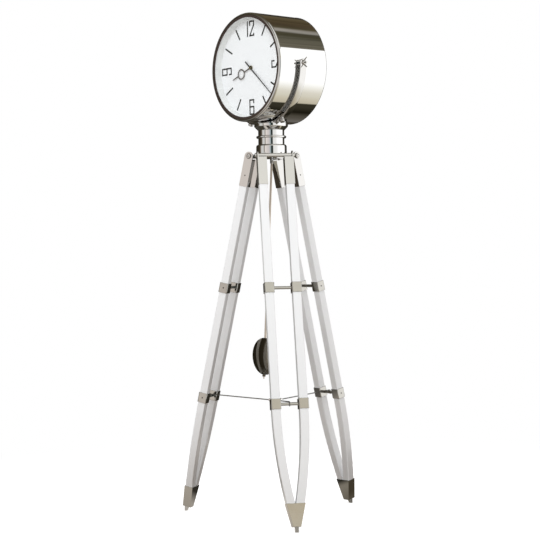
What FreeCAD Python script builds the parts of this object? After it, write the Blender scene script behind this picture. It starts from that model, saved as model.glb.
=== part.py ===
import FreeCAD, Part, Sketcher
import math
import os
import re

# A modern tripod floor clock: a round case hung in a yoke on a turned column, three legs of paired bars,
# a spreader between the legs, and a pendulum that swings between them.
# Millimetres, +Z up, the dial faces -Y. The origin is on the floor, in the middle of the clock's plan.

# Driving dimensions, one per line, each a cell of the sheet under the same name.
SIZES = {
    # Tripod head and the splay of the legs.
    "pivot_height": 1304.3,
    "pivot_radius": 64.5,
    "foot_radius": 359.0,
    "side_leg_turn": 60.0,
    "rod_radius": 7.5,
    "rod_end_margin": 2.0,
    "rod_nut_radius": 10.2,
    "rod_nut_length": 8.5,
    "rod_nut_shoulder": 4.3,
    "rod_nut_crown_height": 7.0,
    "rod_nut_crown_radius": 8.8,
    "rod_nut_tip_radius": 5.2,
    "head_block_height": 14.0,
    "head_disc_radius": 54.0,
    "hanger_hole_width": 15.0,
    "hanger_hole_depth": 11.0,
    # Clearances.
    "running_clearance": 0.05,
    "seat_clearance": 0.3,
    "cut_overrun": 5.0,
    # Leg bars.
    "bar_width": 30.0,
    "bar_depth": 28.0,
    "bar_edge_round": 2.5,
    "bar_half_spacing": 49.0,
    "seam_half_gap": 2.0,
    "mitre_half_gap": 0.4,
    # Top shoes of the bars.
    "shoe_wall": 1.6,
    "shoe_drop": 111.0,
    "shoe_solid_drop": 22.0,
    "shoe_screw_drop": 71.0,
    "shoe_ear_thickness": 4.0,
    "shoe_notch_drop": 9.5,
    # Clamp sleeves, rungs and set screws.
    "clamp_wall": 2.6,
    "clamp_length": 36.0,
    "upper_rung_height": 829.4,
    "lower_rung_height": 428.0,
    "rung_radius": 5.5,
    "screw_radius": 2.2,
    "screw_proud": 0.6,
    # Foot caps and toes.
    "cap_wall": 2.0,
    "cap_length": 80.0,
    "cap_socket_depth": 16.0,
    "cap_bottom_half_width": 14.0,
    "toe_height": 17.0,
    "toe_width": 12.0,
    "toe_top_depth": 17.0,
    "toe_sole_depth": 7.0,
    "toe_outer_inset": 4.0,
    # Column between the tripod head and the yoke.
    "column_radius": 47.5,
    "column_wall": 3.5,
    "column_top_thickness": 9.0,
    "bell_radius": 55.5,
    "bell_height": 35.0,
    "bell_round": 8.0,
    "bead_radius": 54.5,
    "bead_height": 9.0,
    "bead_rise": 62.5,
    "column_height": 86.5,
    # Saddle cup, its stem and the stem nut.
    "cup_radius": 61.5,
    "cup_base_radius": 48.5,
    "cup_flare_height": 13.5,
    "cup_band_height": 9.0,
    "cup_rim_radius": 58.5,
    "stem_radius": 14.0,
    "stem_nut_radius": 20.0,
    "stem_nut_height": 9.0,
    # Round case and its yoke.
    "cradle_rise": 22.9,
    "drum_radius": 195.0,
    "drum_front_depth": 96.4,
    "drum_back_depth": 121.8,
    "yoke_forward": 22.0,
    "case_cup_gap": 4.0,
    "strap_thickness": 5.0,
    "strap_half_angle": 31.0,
    "arm_thickness": 5.0,
    "arm_width": 22.0,
    "arm_start_angle": 20.0,
    "arm_bolt_angle": 24.5,
    "arm_bolt_radius": 4.0,
    "arm_bolt_head_radius": 9.0,
    "arm_bolt_head_height": 10.0,
    "arm_bolt_chamfer": 1.5,
    "arm_eye_radius": 14.0,
    "stud_radius": 4.0,
    "stud_boss_radius": 13.0,
    "stud_length": 24.0,
    "case_wall": 1.6,
    "case_lip": 6.0,
    "case_lip_thickness": 3.0,
    # Bezel, gasket, glass and dial.
    "bezel_width": 9.5,
    "bezel_skirt": 26.2,
    "bezel_lip": 1.0,
    "bezel_round": 8.5,
    "bezel_seat_width": 1.5,
    "bezel_seat_depth": 10.5,
    "gasket_width": 8.0,
    "gasket_thickness": 2.0,
    "glass_thickness": 2.5,
    "dial_recess": 30.2,
    "dial_thickness": 1.5,
    "dial_ring_wall": 2.0,
    "dial_ring_step": 6.0,
    # Numerals and hour bars.
    "marking_rim_gap": 4.5,
    "numeral_height": 56.0,
    "numeral_width": 27.0,
    "numeral_stroke": 5.0,
    "twelve_width": 40.0,
    "hour_bar_length": 45.0,
    "hour_bar_width": 5.6,
    "marking_thickness": 0.8,
    # Movement, hands and setting knob.
    "movement_size": 56.0,
    "movement_depth": 18.0,
    "movement_round": 5.0,
    "bushing_radius": 5.0,
    "bushing_rise": 3.2,
    "bushing_nut_radius": 8.0,
    "bushing_nut_height": 2.4,
    "hour_tube_radius": 3.0,
    "hour_tube_bore": 1.75,
    "hour_tube_length": 8.0,
    "hour_plate_rise": 3.8,
    "hand_thickness": 0.8,
    "hour_hand_share": 0.619,
    "hour_hand_width": 4.2,
    "hour_hand_tip_width": 2.4,
    "hour_boss_radius": 7.0,
    "hour_ring_radius": 19.0,
    "hour_ring_width": 3.6,
    "hour_ring_share": 0.3266,
    "minute_arbor_length": 14.0,
    "hand_plate_gap": 1.2,
    "minute_hand_share": 0.917,
    "minute_hand_tail": 36.0,
    "minute_hand_width": 5.2,
    "minute_hand_tip_width": 2.6,
    "minute_boss_radius": 6.0,
    "hand_nut_radius": 4.2,
    "hand_nut_height": 2.2,
    "hand_nut_shoulder": 1.3,
    "hand_nut_tip_radius": 2.9,
    "set_knob_radius": 9.0,
    "set_knob_height": 5.0,
    "set_knob_stem_radius": 2.0,
    "set_knob_stem_length": 6.0,
    "set_knob_offset": 13.0,
    "minute_angle": 132.0,
    "hour_angle": 251.0,
    # Back cover.
    "back_cover_thickness": 2.0,
    "back_screw_radius": 3.0,
    "back_screw_height": 1.6,
    "back_screw_inset": 8.0,
    # Wing nuts.
    "wing_hub_radius": 8.5,
    "wing_hub_tip_radius": 6.8,
    "wing_hub_length": 8.0,
    "wing_thickness": 3.4,
    "wing_root_radius": 5.5,
    "wing_heel_height": 1.8,
    "wing_heel_rise": 3.6,
    "wing_reach": 19.5,
    "wing_shoulder_out": 17.0,
    "wing_peak_reach": 17.9,
    "wing_tip_out": 19.5,
    "wing_inner_reach": 15.6,
    "wing_inner_out": 18.8,
    # Pendulum and its drive.
    "drive_width": 56.0,
    "drive_depth": 18.0,
    "drive_height": 52.0,
    "swing_pin_drop": 20.3,
    "swing_pin_radius": 2.0,
    "hanger_width": 10.0,
    "hanger_ear_thickness": 2.5,
    "hanger_ear_drop": 6.0,
    "rest_swing": 4.8,
    "pendulum_rod_width": 10.0,
    "pendulum_rod_thickness": 2.2,
    "pendulum_eye_radius": 6.5,
    "bob_drop": 712.0,
    "bob_radius": 68.0,
    "bob_crown": 11.0,
    "bob_edge": 4.0,
    "bob_skin": 1.5,
    "bob_slot_clearance": 0.4,
    "bob_travel": 3.0,
    "flat_reach": 34.0,
    "thread_radius": 2.4,
    "thread_tail": 15.0,
    "rating_nut_radius": 6.0,
    "rating_nut_height": 6.0,
    # Spreader.
    "hub_drop": 9.7,
    "hub_radius": 17.0,
    "hub_thickness": 6.0,
    "hub_pin_distance": 24.0,
    "hub_pin_radius": 2.0,
    "hub_ear_thickness": 3.0,
    "tie_radius": 2.0,
    "tie_eye_radius": 4.8,
    "tie_eye_width": 3.4,
    "hook_wrap_angle": 150.0,
}

NAME = re.compile(r"[a-z_]+")
# How far an edge's direction may be from the leg's, as a share of a unit, and still run along it.
ALONG_SHARE = 1e-6


def bind(text):
    # The expression as an object's property needs it, with the sheet's name before each size.
    def full(found):
        return "Sizes." + found.group() if found.group() in SIZES else found.group()
    return NAME.sub(full, text)


def value(text):
    # The number that an expression gives now.
    result = SHEET.evalExpression(text)
    return float(getattr(result, "Value", result))


DOC = FreeCAD.newDocument("tripod_floor_clock")
SHEET = DOC.addObject("Spreadsheet::Sheet", "Sizes")
for row, (alias, size) in enumerate(SIZES.items(), start=1):
    SHEET.set("A%d" % row, alias)
    SHEET.set("B%d" % row, str(size))
    SHEET.setAlias("B%d" % row, alias)
DOC.recompute()

PARTS = []

# Worked-out sizes, as expressions of the sheet's names.
SPLAY = "atan((foot_radius - pivot_radius) / pivot_height)"
SHOE_WIDTH = "(bar_width + 2 * shoe_wall)"
SHOE_DEPTH = "(bar_depth + 2 * shoe_wall)"
CLAMP_WIDTH = "(bar_width + 2 * clamp_wall)"
CLAMP_DEPTH = "(bar_depth + 2 * clamp_wall)"
UPPER_RUN = f"((pivot_height - upper_rung_height) / cos({SPLAY}))"
LOWER_RUN = f"((pivot_height - lower_rung_height) / cos({SPLAY}))"
CAP_BOTTOM_RUN = f"((pivot_height - toe_height) / cos({SPLAY}))"
CAP_TOP_RUN = f"({CAP_BOTTOM_RUN} - cap_length)"
BAR_END_RUN = f"({CAP_TOP_RUN} + cap_socket_depth)"
CAP_DEPTH = "(bar_depth + 2 * (cap_wall + seat_clearance / 2))"
CAP_TOP_HALF = "(seam_half_gap + bar_width + seat_clearance / 2 + cap_wall)"
BEND_START_RUN = f"({LOWER_RUN} + clamp_length / 2)"
BEND_RUN = f"({CAP_TOP_RUN} - {BEND_START_RUN})"
BEND_SHIFT = "(bar_half_spacing - bar_width / 2 - seam_half_gap)"
BEND_RADIUS = f"(({BEND_RUN} * {BEND_RUN} + {BEND_SHIFT} * {BEND_SHIFT}) / (2 * {BEND_SHIFT}))"
LOWER_RUNG_RADIUS = f"(pivot_radius + {LOWER_RUN} * sin({SPLAY}))"

# The clock's plan runs from the front legs' foot caps to the rear one's, and the origin is its middle.
REAR_REACH = f"(pivot_radius + {CAP_BOTTOM_RUN} * sin({SPLAY}) + {CAP_DEPTH} / 2 * cos({SPLAY}))"
CAP_TOP_REACH = f"(pivot_radius + {CAP_TOP_RUN} * sin({SPLAY}) + {CAP_DEPTH} / 2 * cos({SPLAY}))"
FRONT_REACH = f"({CAP_TOP_REACH} * cos(side_leg_turn) + {CAP_TOP_HALF} * sin(side_leg_turn))"
AXIS_BACK = f"(({FRONT_REACH} - {REAR_REACH}) / 2)"

COLUMN_BOTTOM = "(pivot_height + head_block_height / 2)"
COLUMN_TOP = f"({COLUMN_BOTTOM} + column_height)"
CUP_BOTTOM = f"({COLUMN_TOP} + seat_clearance)"
CRADLE_RADIUS = "(drum_radius + case_cup_gap)"
DRUM_HEIGHT = f"({CUP_BOTTOM} + cradle_rise + {CRADLE_RADIUS})"
STRAP_OUTER = f"({CRADLE_RADIUS} + strap_thickness)"
ARM_INNER = f"({STRAP_OUTER})"
ARM_OUTER = f"({ARM_INNER} + arm_thickness)"
SWING_HEIGHT = "(pivot_height - swing_pin_drop)"

LEG_TURNS = {"left": "-side_leg_turn", "right": "side_leg_turn", "rear": "180"}


def placed(x="0", y="0", z="0", turn="rotation(vector(0; 0; 1); 0)"):
    # A place measured from the foot of the column's axis on the floor.
    return f"placement(vector({x}; {AXIS_BACK} + {y}; {z}); {turn})"


def leg_placed(turn):
    # A leg's own frame: origin at its pivot, X along the pivot rod, Z up the splayed leg.
    return (
        f"placement(vector(0; {AXIS_BACK}; 0)"
        f" + rotation(vector(0; 0; 1); {turn}) * vector(0; -pivot_radius; pivot_height);"
        f" rotation(vector(0; 0; 1); {turn}) * rotation(vector(1; 0; 0); -{SPLAY}))"
    )


# The case's own frame: origin on the trunnion line, X to the right, Y up, Z towards the viewer.
DRUM_PLACE = placed("0", "-yoke_forward", DRUM_HEIGHT, "rotation(vector(1; 0; 0); 90)")
STAND_PLACE = placed()


def finish_part(thing, label, place):
    thing.Label = label
    thing.setExpression("Placement", bind(place))
    PARTS.append(thing)
    return thing


def origin_plane(body, role):
    return next(feature for feature in body.Origin.OriginFeatures if feature.Role == role)


def sketch_on(body, name, role="XY_Plane", offset="0"):
    sketch = body.newObject("Sketcher::SketchObject", name)
    sketch.AttachmentSupport = [(origin_plane(body, role), "")]
    sketch.MapMode = "FlatFace"
    sketch.setExpression("AttachmentOffset.Base.z", bind(offset))
    return sketch


def hold(sketch, kind, item, point, text):
    # One coordinate of a point, held from the sketch's origin by an expression.
    if text == "0":
        axis = -2 if kind == "DistanceX" else -1
        sketch.addConstraint(Sketcher.Constraint("PointOnObject", item, point, axis))
        return
    index = sketch.addConstraint(Sketcher.Constraint(kind, -1, 1, item, point, value(text)))
    sketch.setExpression("Constraints[%d]" % index, bind(text))


def add_outline(sketch, points):
    # A closed outline through corners given as pairs of expressions.
    first = sketch.GeometryCount
    corners = [FreeCAD.Vector(value(x), value(y), 0) for x, y in points]
    count = len(corners)
    for number in range(count):
        sketch.addGeometry(Part.LineSegment(corners[number], corners[(number + 1) % count]))
    for number in range(count):
        following = first + (number + 1) % count
        sketch.addConstraint(Sketcher.Constraint("Coincident", first + number, 2, following, 1))
    for number, (x, y) in enumerate(points):
        hold(sketch, "DistanceX", first + number, 1, x)
        hold(sketch, "DistanceY", first + number, 1, y)


def add_circle(sketch, x, y, radius):
    centre = FreeCAD.Vector(value(x), value(y), 0)
    item = sketch.addGeometry(Part.Circle(centre, FreeCAD.Vector(0, 0, 1), value(radius)))
    hold(sketch, "DistanceX", item, 3, x)
    hold(sketch, "DistanceY", item, 3, y)
    index = sketch.addConstraint(Sketcher.Constraint("Radius", item, value(radius)))
    sketch.setExpression("Constraints[%d]" % index, bind(radius))


def revolve(body, name, points):
    # The outline's first coordinate is the radius, its second the height along the body's Z axis.
    sketch = sketch_on(body, name + "_profile", "XZ_Plane")
    add_outline(sketch, points)
    turned = body.newObject("PartDesign::Revolution", name)
    turned.Profile = sketch
    turned.ReferenceAxis = (sketch, ["V_Axis"])
    turned.Angle = 360
    return turned


def revolved(label, points, place):
    body = DOC.addObject("PartDesign::Body", label)
    revolve(body, label + "_turned", points)
    return finish_part(body, label, place)


def pad(body, name, outlines, thickness, role="XY_Plane", offset="0", both_ways=False, circles=()):
    sketch = sketch_on(body, name + "_sketch", role, offset)
    for outline in outlines:
        add_outline(sketch, outline)
    for circle in circles:
        add_circle(sketch, *circle)
    plate = body.newObject("PartDesign::Pad", name)
    plate.Profile = sketch
    if both_ways:
        plate.SideType = "Symmetric"
    plate.setExpression("Length", bind(thickness))
    return plate


def pocket(body, name, outlines, depth, role="XY_Plane", offset="0", both_ways=False, circles=()):
    # Cuts against the plane's normal, or both ways about it.
    sketch = sketch_on(body, name + "_sketch", role, offset)
    for outline in outlines:
        add_outline(sketch, outline)
    for circle in circles:
        add_circle(sketch, *circle)
    hole = body.newObject("PartDesign::Pocket", name)
    hole.Profile = sketch
    if both_ways:
        hole.SideType = "Symmetric"
    hole.setExpression("Length", bind(depth))
    return hole


def round_edges(body, name, wanted, radius):
    # Rounds the edges of the body's present shape that the test picks out.
    DOC.recompute()
    base = body.Tip
    names = ["Edge%d" % (n + 1) for n, edge in enumerate(base.Shape.Edges) if wanted(edge)]
    fillet = body.newObject("PartDesign::Fillet", name)
    fillet.Base = (base, names)
    fillet.setExpression("Radius", bind(radius))
    return fillet


def rectangle(x0, y0, x1, y1):
    return [(x0, y0), (x1, y0), (x1, y1), (x0, y1)]


def polygon_points(count, radius, x="0", y="0"):
    # Corners of a regular polygon, as expressions.
    return [
        (f"{x} + {radius} * cos({360 / count} * {n})", f"{y} + {radius} * sin({360 / count} * {n})")
        for n in range(count)
    ]


def cylinder(name, radius, height, place):
    solid = DOC.addObject("Part::Cylinder", name)
    solid.setExpression("Radius", bind(radius))
    solid.setExpression("Height", bind(height))
    solid.setExpression("Placement", bind(place))
    return solid


def box(name, length, width, height, place):
    solid = DOC.addObject("Part::Box", name)
    solid.setExpression("Length", bind(length))
    solid.setExpression("Width", bind(width))
    solid.setExpression("Height", bind(height))
    solid.setExpression("Placement", bind(place))
    return solid


def centred_box(name, length, width, height, x="0", y="0", z="0", turn="0"):
    # A box about its own centre, turned about Z.
    turned = f"rotation(vector(0; 0; 1); {turn})"
    corner = f"vector({x}; {y}; {z}) + {turned} * vector(-{length} / 2; -{width} / 2; -{height} / 2)"
    return box(name, length, width, height, f"placement({corner}; {turned})")


def at(x="0", y="0", z="0", turn="rotation(vector(0; 0; 1); 0)"):
    return f"placement(vector({x}; {y}; {z}); {turn})"


TOWARDS_X = "rotation(vector(0; 1; 0); 90)"
TOWARDS_MINUS_X = "rotation(vector(0; 1; 0); -90)"
TOWARDS_Y = "rotation(vector(1; 0; 0); -90)"


def cut(name, base, tool):
    thing = DOC.addObject("Part::Cut", name)
    thing.Base = base
    thing.Tool = tool
    return thing


def fuse(name, *pieces):
    thing = DOC.addObject("Part::MultiFuse", name)
    thing.Shapes = list(pieces)
    return thing


def common(name, *pieces):
    thing = DOC.addObject("Part::MultiCommon", name)
    thing.Shapes = list(pieces)
    return thing


def group(name, pieces):
    thing = DOC.addObject("Part::Compound", name)
    thing.Links = list(pieces)
    return thing


def turned_piece(name, points, place):
    # A turned solid that later goes into a group.
    body = DOC.addObject("PartDesign::Body", name)
    revolve(body, name + "_turned", points)
    body.setExpression("Placement", bind(place))
    return body


def add_arc(sketch, centre, radius, start, end):
    # An arc about a centre given as two expressions, turning anticlockwise between two angles in degrees.
    middle = FreeCAD.Vector(value(centre[0]), value(centre[1]), 0)
    circle = Part.Circle(middle, FreeCAD.Vector(0, 0, 1), value(radius))
    item = sketch.addGeometry(Part.ArcOfCircle(circle, math.radians(start), math.radians(end)))
    index = sketch.addConstraint(Sketcher.Constraint("Radius", item, value(radius)))
    sketch.setExpression("Constraints[%d]" % index, bind(radius))
    return item


def add_line(sketch, start, end):
    return sketch.addGeometry(Part.LineSegment(FreeCAD.Vector(*start, 0), FreeCAD.Vector(*end, 0)))


def join(sketch, *pairs):
    for first, first_point, second, second_point in pairs:
        sketch.addConstraint(Sketcher.Constraint("Coincident", first, first_point, second, second_point))


def add_ring_sector(sketch, inner, outer, low_angle, high_angle, low_kind, high_kind):
    # A sector of a ring about the origin. Angles are counted anticlockwise from straight down, and each
    # end is held by the one coordinate that fixes it well.
    low = value(low_angle) - 90
    high = value(high_angle) - 90
    arcs = [add_arc(sketch, ("0", "0"), radius, low, high) for radius in (inner, outer)]
    corners = [
        [(value(radius) * math.cos(math.radians(turn)), value(radius) * math.sin(math.radians(turn)))
         for turn in (low, high)]
        for radius in (inner, outer)
    ]
    low_line = add_line(sketch, corners[0][0], corners[1][0])
    high_line = add_line(sketch, corners[0][1], corners[1][1])
    join(
        sketch,
        (arcs[0], 1, low_line, 1), (arcs[1], 1, low_line, 2),
        (arcs[0], 2, high_line, 1), (arcs[1], 2, high_line, 2),
        (arcs[0], 3, -1, 1), (arcs[1], 3, -1, 1),
    )
    for arc, radius in zip(arcs, (inner, outer)):
        for point, angle, kind in ((1, low_angle, low_kind), (2, high_angle, high_kind)):
            text = f"{radius} * sin({angle})" if kind == "DistanceX" else f"-{radius} * cos({angle})"
            hold(sketch, kind, arc, point, text)


# Tripod head: a block with three lugs, each with a half-round groove for its pivot rod.
LUG_HALF_WIDTH = f"(bar_half_spacing - {SHOE_WIDTH} / 2 - seat_clearance)"
block_disc = cylinder(
    "head_disc", "head_disc_radius", "head_block_height", at(z="pivot_height - head_block_height / 2")
)
lugs = []
rod_grooves = []
for side, turn in LEG_TURNS.items():
    spin = f"rotation(vector(0; 0; 1); {turn})"
    lug_corner = f"{spin} * vector(-{LUG_HALF_WIDTH}; -pivot_radius; pivot_height - head_block_height / 2)"
    lugs.append(box(
        "head_lug_" + side, f"2 * {LUG_HALF_WIDTH}", "pivot_radius", "head_block_height",
        f"placement({lug_corner}; {spin})",
    ))
    rod_grooves.append(cylinder(
        "head_groove_" + side, "rod_radius", "2 * pivot_radius",
        f"placement({spin} * vector(-pivot_radius; -pivot_radius; pivot_height); {spin} * {TOWARDS_X})",
    ))
hanger_hole = centred_box(
    "hanger_hole", "hanger_hole_width", "hanger_hole_depth", "(head_block_height + 2 * cut_overrun)",
    z="pivot_height",
)
head_solid = fuse("head_block_solid", block_disc, *lugs)
head_cuts = fuse("head_cuts", hanger_hole, *rod_grooves)
finish_part(cut("head_block", head_solid, head_cuts), "head_block", STAND_PLACE)

# Column: a hollow turned tube with a bell at its foot, a bead, and a thick top that carries the stem.
COLUMN_BORE = "(column_radius - column_wall)"
COLUMN_SHELF = f"({COLUMN_TOP} - column_top_thickness)"
STEM_BORE = "(stem_radius + running_clearance)"
BELL_TOP = f"({COLUMN_BOTTOM} + bell_height)"
BEAD_MIDDLE = f"({COLUMN_BOTTOM} + bead_rise)"
column = revolved("post_column", [
    ("bell_radius", COLUMN_BOTTOM),
    ("bell_radius", BELL_TOP),
    ("column_radius", BELL_TOP),
    ("column_radius", f"{BEAD_MIDDLE} - bead_height / 2"),
    ("bead_radius", f"{BEAD_MIDDLE} - bead_height / 2"),
    ("bead_radius", f"{BEAD_MIDDLE} + bead_height / 2"),
    ("column_radius", f"{BEAD_MIDDLE} + bead_height / 2"),
    ("column_radius", COLUMN_TOP),
    (STEM_BORE, COLUMN_TOP),
    (STEM_BORE, COLUMN_SHELF),
    (COLUMN_BORE, COLUMN_SHELF),
    (COLUMN_BORE, f"{BELL_TOP} - column_wall"),
    ("bell_radius - column_wall", f"{BELL_TOP} - column_wall"),
    ("bell_radius - column_wall", COLUMN_BOTTOM),
], STAND_PLACE)


def rim_at(radius, *heights):
    # Picks the circular edges of one radius that lie at any of the heights.
    def wanted(edge):
        if not isinstance(edge.Curve, Part.Circle):
            return False
        slack = value("running_clearance")
        centre = edge.Curve.Center.z
        near_radius = abs(edge.Curve.Radius - value(radius)) < slack
        return near_radius and any(abs(centre - value(height)) < slack for height in heights)
    return wanted


round_edges(column, "bell_shoulder", rim_at("bell_radius", BELL_TOP), "bell_round - seat_clearance")
round_edges(
    column, "bead_rounding",
    rim_at("bead_radius", f"{BEAD_MIDDLE} - bead_height / 2", f"{BEAD_MIDDLE} + bead_height / 2"),
    "bead_height / 2 - seat_clearance",
)

# Pivot rods, each with a cap nut on either end.
NUT_FACE = f"(bar_half_spacing + {SHOE_WIDTH} / 2 + seat_clearance)"
ROD_HALF = f"({NUT_FACE} + rod_nut_length - rod_end_margin)"
rods = []
nuts = []
for side, turn in LEG_TURNS.items():
    spin = f"rotation(vector(0; 0; 1); {turn})"
    rods.append(cylinder(
        "pivot_rod_" + side, "rod_radius", f"2 * {ROD_HALF}",
        f"placement({spin} * vector(-{ROD_HALF}; -pivot_radius; pivot_height); {spin} * {TOWARDS_X})",
    ))
    for end, facing in (("inner", TOWARDS_MINUS_X), ("outer", TOWARDS_X)):
        sign = "-" if end == "inner" else ""
        nuts.append(turned_piece(f"rod_nut_{side}_{end}", [
            ("rod_radius", "0"),
            ("rod_nut_radius", "0"),
            ("rod_nut_radius", "rod_nut_shoulder"),
            ("rod_nut_crown_radius", "rod_nut_crown_height"),
            ("rod_nut_tip_radius", "rod_nut_length"),
            ("0", "rod_nut_length"),
            ("0", "rod_nut_length - rod_end_margin"),
            ("rod_radius", "rod_nut_length - rod_end_margin"),
        ], f"placement({spin} * vector({sign}{NUT_FACE}; -pivot_radius; pivot_height); {spin} * {facing})"))
finish_part(group("pivot_rods", rods), "pivot_rods", STAND_PLACE)
finish_part(group("pivot_nuts", nuts), "pivot_nuts", STAND_PLACE)

# Pendulum drive in the column, and the hanger that comes down from it through the head block.
drive = DOC.addObject("PartDesign::Body", "pendulum_drive")
pad(
    drive, "drive_case",
    [rectangle("-drive_width / 2", "-drive_depth / 2", "drive_width / 2", "drive_depth / 2")],
    "drive_height", offset=COLUMN_BOTTOM,
)
finish_part(drive, "pendulum_drive", STAND_PLACE)

EAR_GAP = "(pendulum_rod_thickness + 2 * seat_clearance)"
HANGER_DEPTH = f"({EAR_GAP} + 2 * hanger_ear_thickness)"
HANGER_FORK_TOP = f"({SWING_HEIGHT} + pendulum_eye_radius + seat_clearance)"
HANGER_BOTTOM = f"({SWING_HEIGHT} - hanger_ear_drop)"
hanger = DOC.addObject("PartDesign::Body", "pendulum_hanger")
pad(
    hanger, "hanger_bar",
    [rectangle("-hanger_width / 2", HANGER_BOTTOM, "hanger_width / 2", COLUMN_BOTTOM)],
    HANGER_DEPTH, role="XZ_Plane", both_ways=True,
)
pocket(
    hanger, "hanger_fork",
    [rectangle("-hanger_width", f"{HANGER_BOTTOM} - cut_overrun", "hanger_width", HANGER_FORK_TOP)],
    EAR_GAP, role="XZ_Plane", both_ways=True,
)
pad(hanger, "swing_pin", [], HANGER_DEPTH, role="XZ_Plane", both_ways=True,
    circles=[("0", SWING_HEIGHT, "swing_pin_radius")])
finish_part(hanger, "pendulum_hanger", STAND_PLACE)


# Legs: each leg's pieces stand in its own frame.
def add_bar_outline(sketch, sign):
    # A bar that is straight down to the lower clamp, then bends towards its twin and ends in a mitre.
    s = 1 if sign == "" else -1
    outer_radius = f"({BEND_RADIUS} + bar_width / 2)"
    inner_radius = f"({BEND_RADIUS} - bar_width / 2)"
    centre = (f"{sign}(bar_half_spacing - {BEND_RADIUS})", f"-{BEND_START_RUN}")
    cx = value(centre[0])
    top, bend, end = -value("shoe_solid_drop"), -value(BEND_START_RUN), -value(BAR_END_RUN)
    ro, ri = value(outer_radius), value(inner_radius)
    mitre = s * value("mitre_half_gap")
    outer_turn = math.degrees(math.asin((bend - end) / ro))
    inner_turn = math.degrees(math.acos(abs(mitre - cx) / ri))
    outer_x, inner_x = cx + s * ro, cx + s * ri
    outer_end = cx + s * ro * math.cos(math.radians(outer_turn))
    inner_end = bend - ri * math.sin(math.radians(inner_turn))
    if s > 0:
        outer_arc = add_arc(sketch, centre, outer_radius, -outer_turn, 0)
        inner_arc = add_arc(sketch, centre, inner_radius, -inner_turn, 0)
        outer_bend, outer_low = (outer_arc, 2), (outer_arc, 1)
        inner_bend, inner_low = (inner_arc, 2), (inner_arc, 1)
    else:
        outer_arc = add_arc(sketch, centre, outer_radius, 180, 180 + outer_turn)
        inner_arc = add_arc(sketch, centre, inner_radius, 180, 180 + inner_turn)
        outer_bend, outer_low = (outer_arc, 1), (outer_arc, 2)
        inner_bend, inner_low = (inner_arc, 1), (inner_arc, 2)
    top_line = add_line(sketch, (inner_x, top), (outer_x, top))
    outer_line = add_line(sketch, (outer_x, top), (outer_x, bend))
    bottom_line = add_line(sketch, (outer_end, end), (mitre, end))
    mitre_line = add_line(sketch, (mitre, end), (mitre, inner_end))
    inner_line = add_line(sketch, (inner_x, bend), (inner_x, top))
    join(
        sketch,
        (top_line, 2, outer_line, 1), (outer_line, 2, *outer_bend), (*outer_low, bottom_line, 1),
        (bottom_line, 2, mitre_line, 1), (mitre_line, 2, *inner_low), (*inner_bend, inner_line, 1),
        (inner_line, 2, top_line, 1), (inner_arc, 3, outer_arc, 3),
    )
    for line, kind in ((top_line, "Horizontal"), (outer_line, "Vertical"), (inner_line, "Vertical"),
                       (mitre_line, "Vertical"), (bottom_line, "Horizontal")):
        sketch.addConstraint(Sketcher.Constraint(kind, line))
    hold(sketch, "DistanceX", outer_arc, 3, centre[0])
    hold(sketch, "DistanceY", outer_arc, 3, centre[1])
    hold(sketch, "DistanceY", top_line, 1, "-shoe_solid_drop")
    hold(sketch, "DistanceY", *outer_bend, f"-{BEND_START_RUN}")
    hold(sketch, "DistanceY", *inner_bend, f"-{BEND_START_RUN}")
    hold(sketch, "DistanceX", bottom_line, 2, f"{sign}mitre_half_gap")
    hold(sketch, "DistanceY", bottom_line, 2, f"-{BAR_END_RUN}")


def make_bar(label, sign, place):
    body = DOC.addObject("PartDesign::Body", label)
    sketch = sketch_on(body, label + "_sketch", "XZ_Plane")
    add_bar_outline(sketch, sign)
    plank = body.newObject("PartDesign::Pad", label + "_plank")
    plank.Profile = sketch
    plank.SideType = "Symmetric"
    plank.setExpression("Length", bind("bar_depth"))
    long_edge = value("2 * bar_width")
    round_edges(body, label + "_rounding", lambda edge: edge.Length > long_edge, "bar_edge_round")
    finish_part(body, label, place)


def upright(edge):
    # Straight edges along the leg.
    if not isinstance(edge.Curve, Part.Line):
        return False
    return abs(abs(edge.tangentAt(edge.FirstParameter).z) - 1) < ALONG_SHARE


def outer_corner(edge, half_width, half_depth):
    # Upright edges on the outside corners of a sleeve round a bar.
    if not upright(edge):
        return False
    point = edge.Vertexes[0].Point
    slack = value("running_clearance")
    from_bar = abs(abs(point.x) - value("bar_half_spacing"))
    return abs(from_bar - value(half_width)) < slack and abs(abs(point.y) - value(half_depth)) < slack


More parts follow.
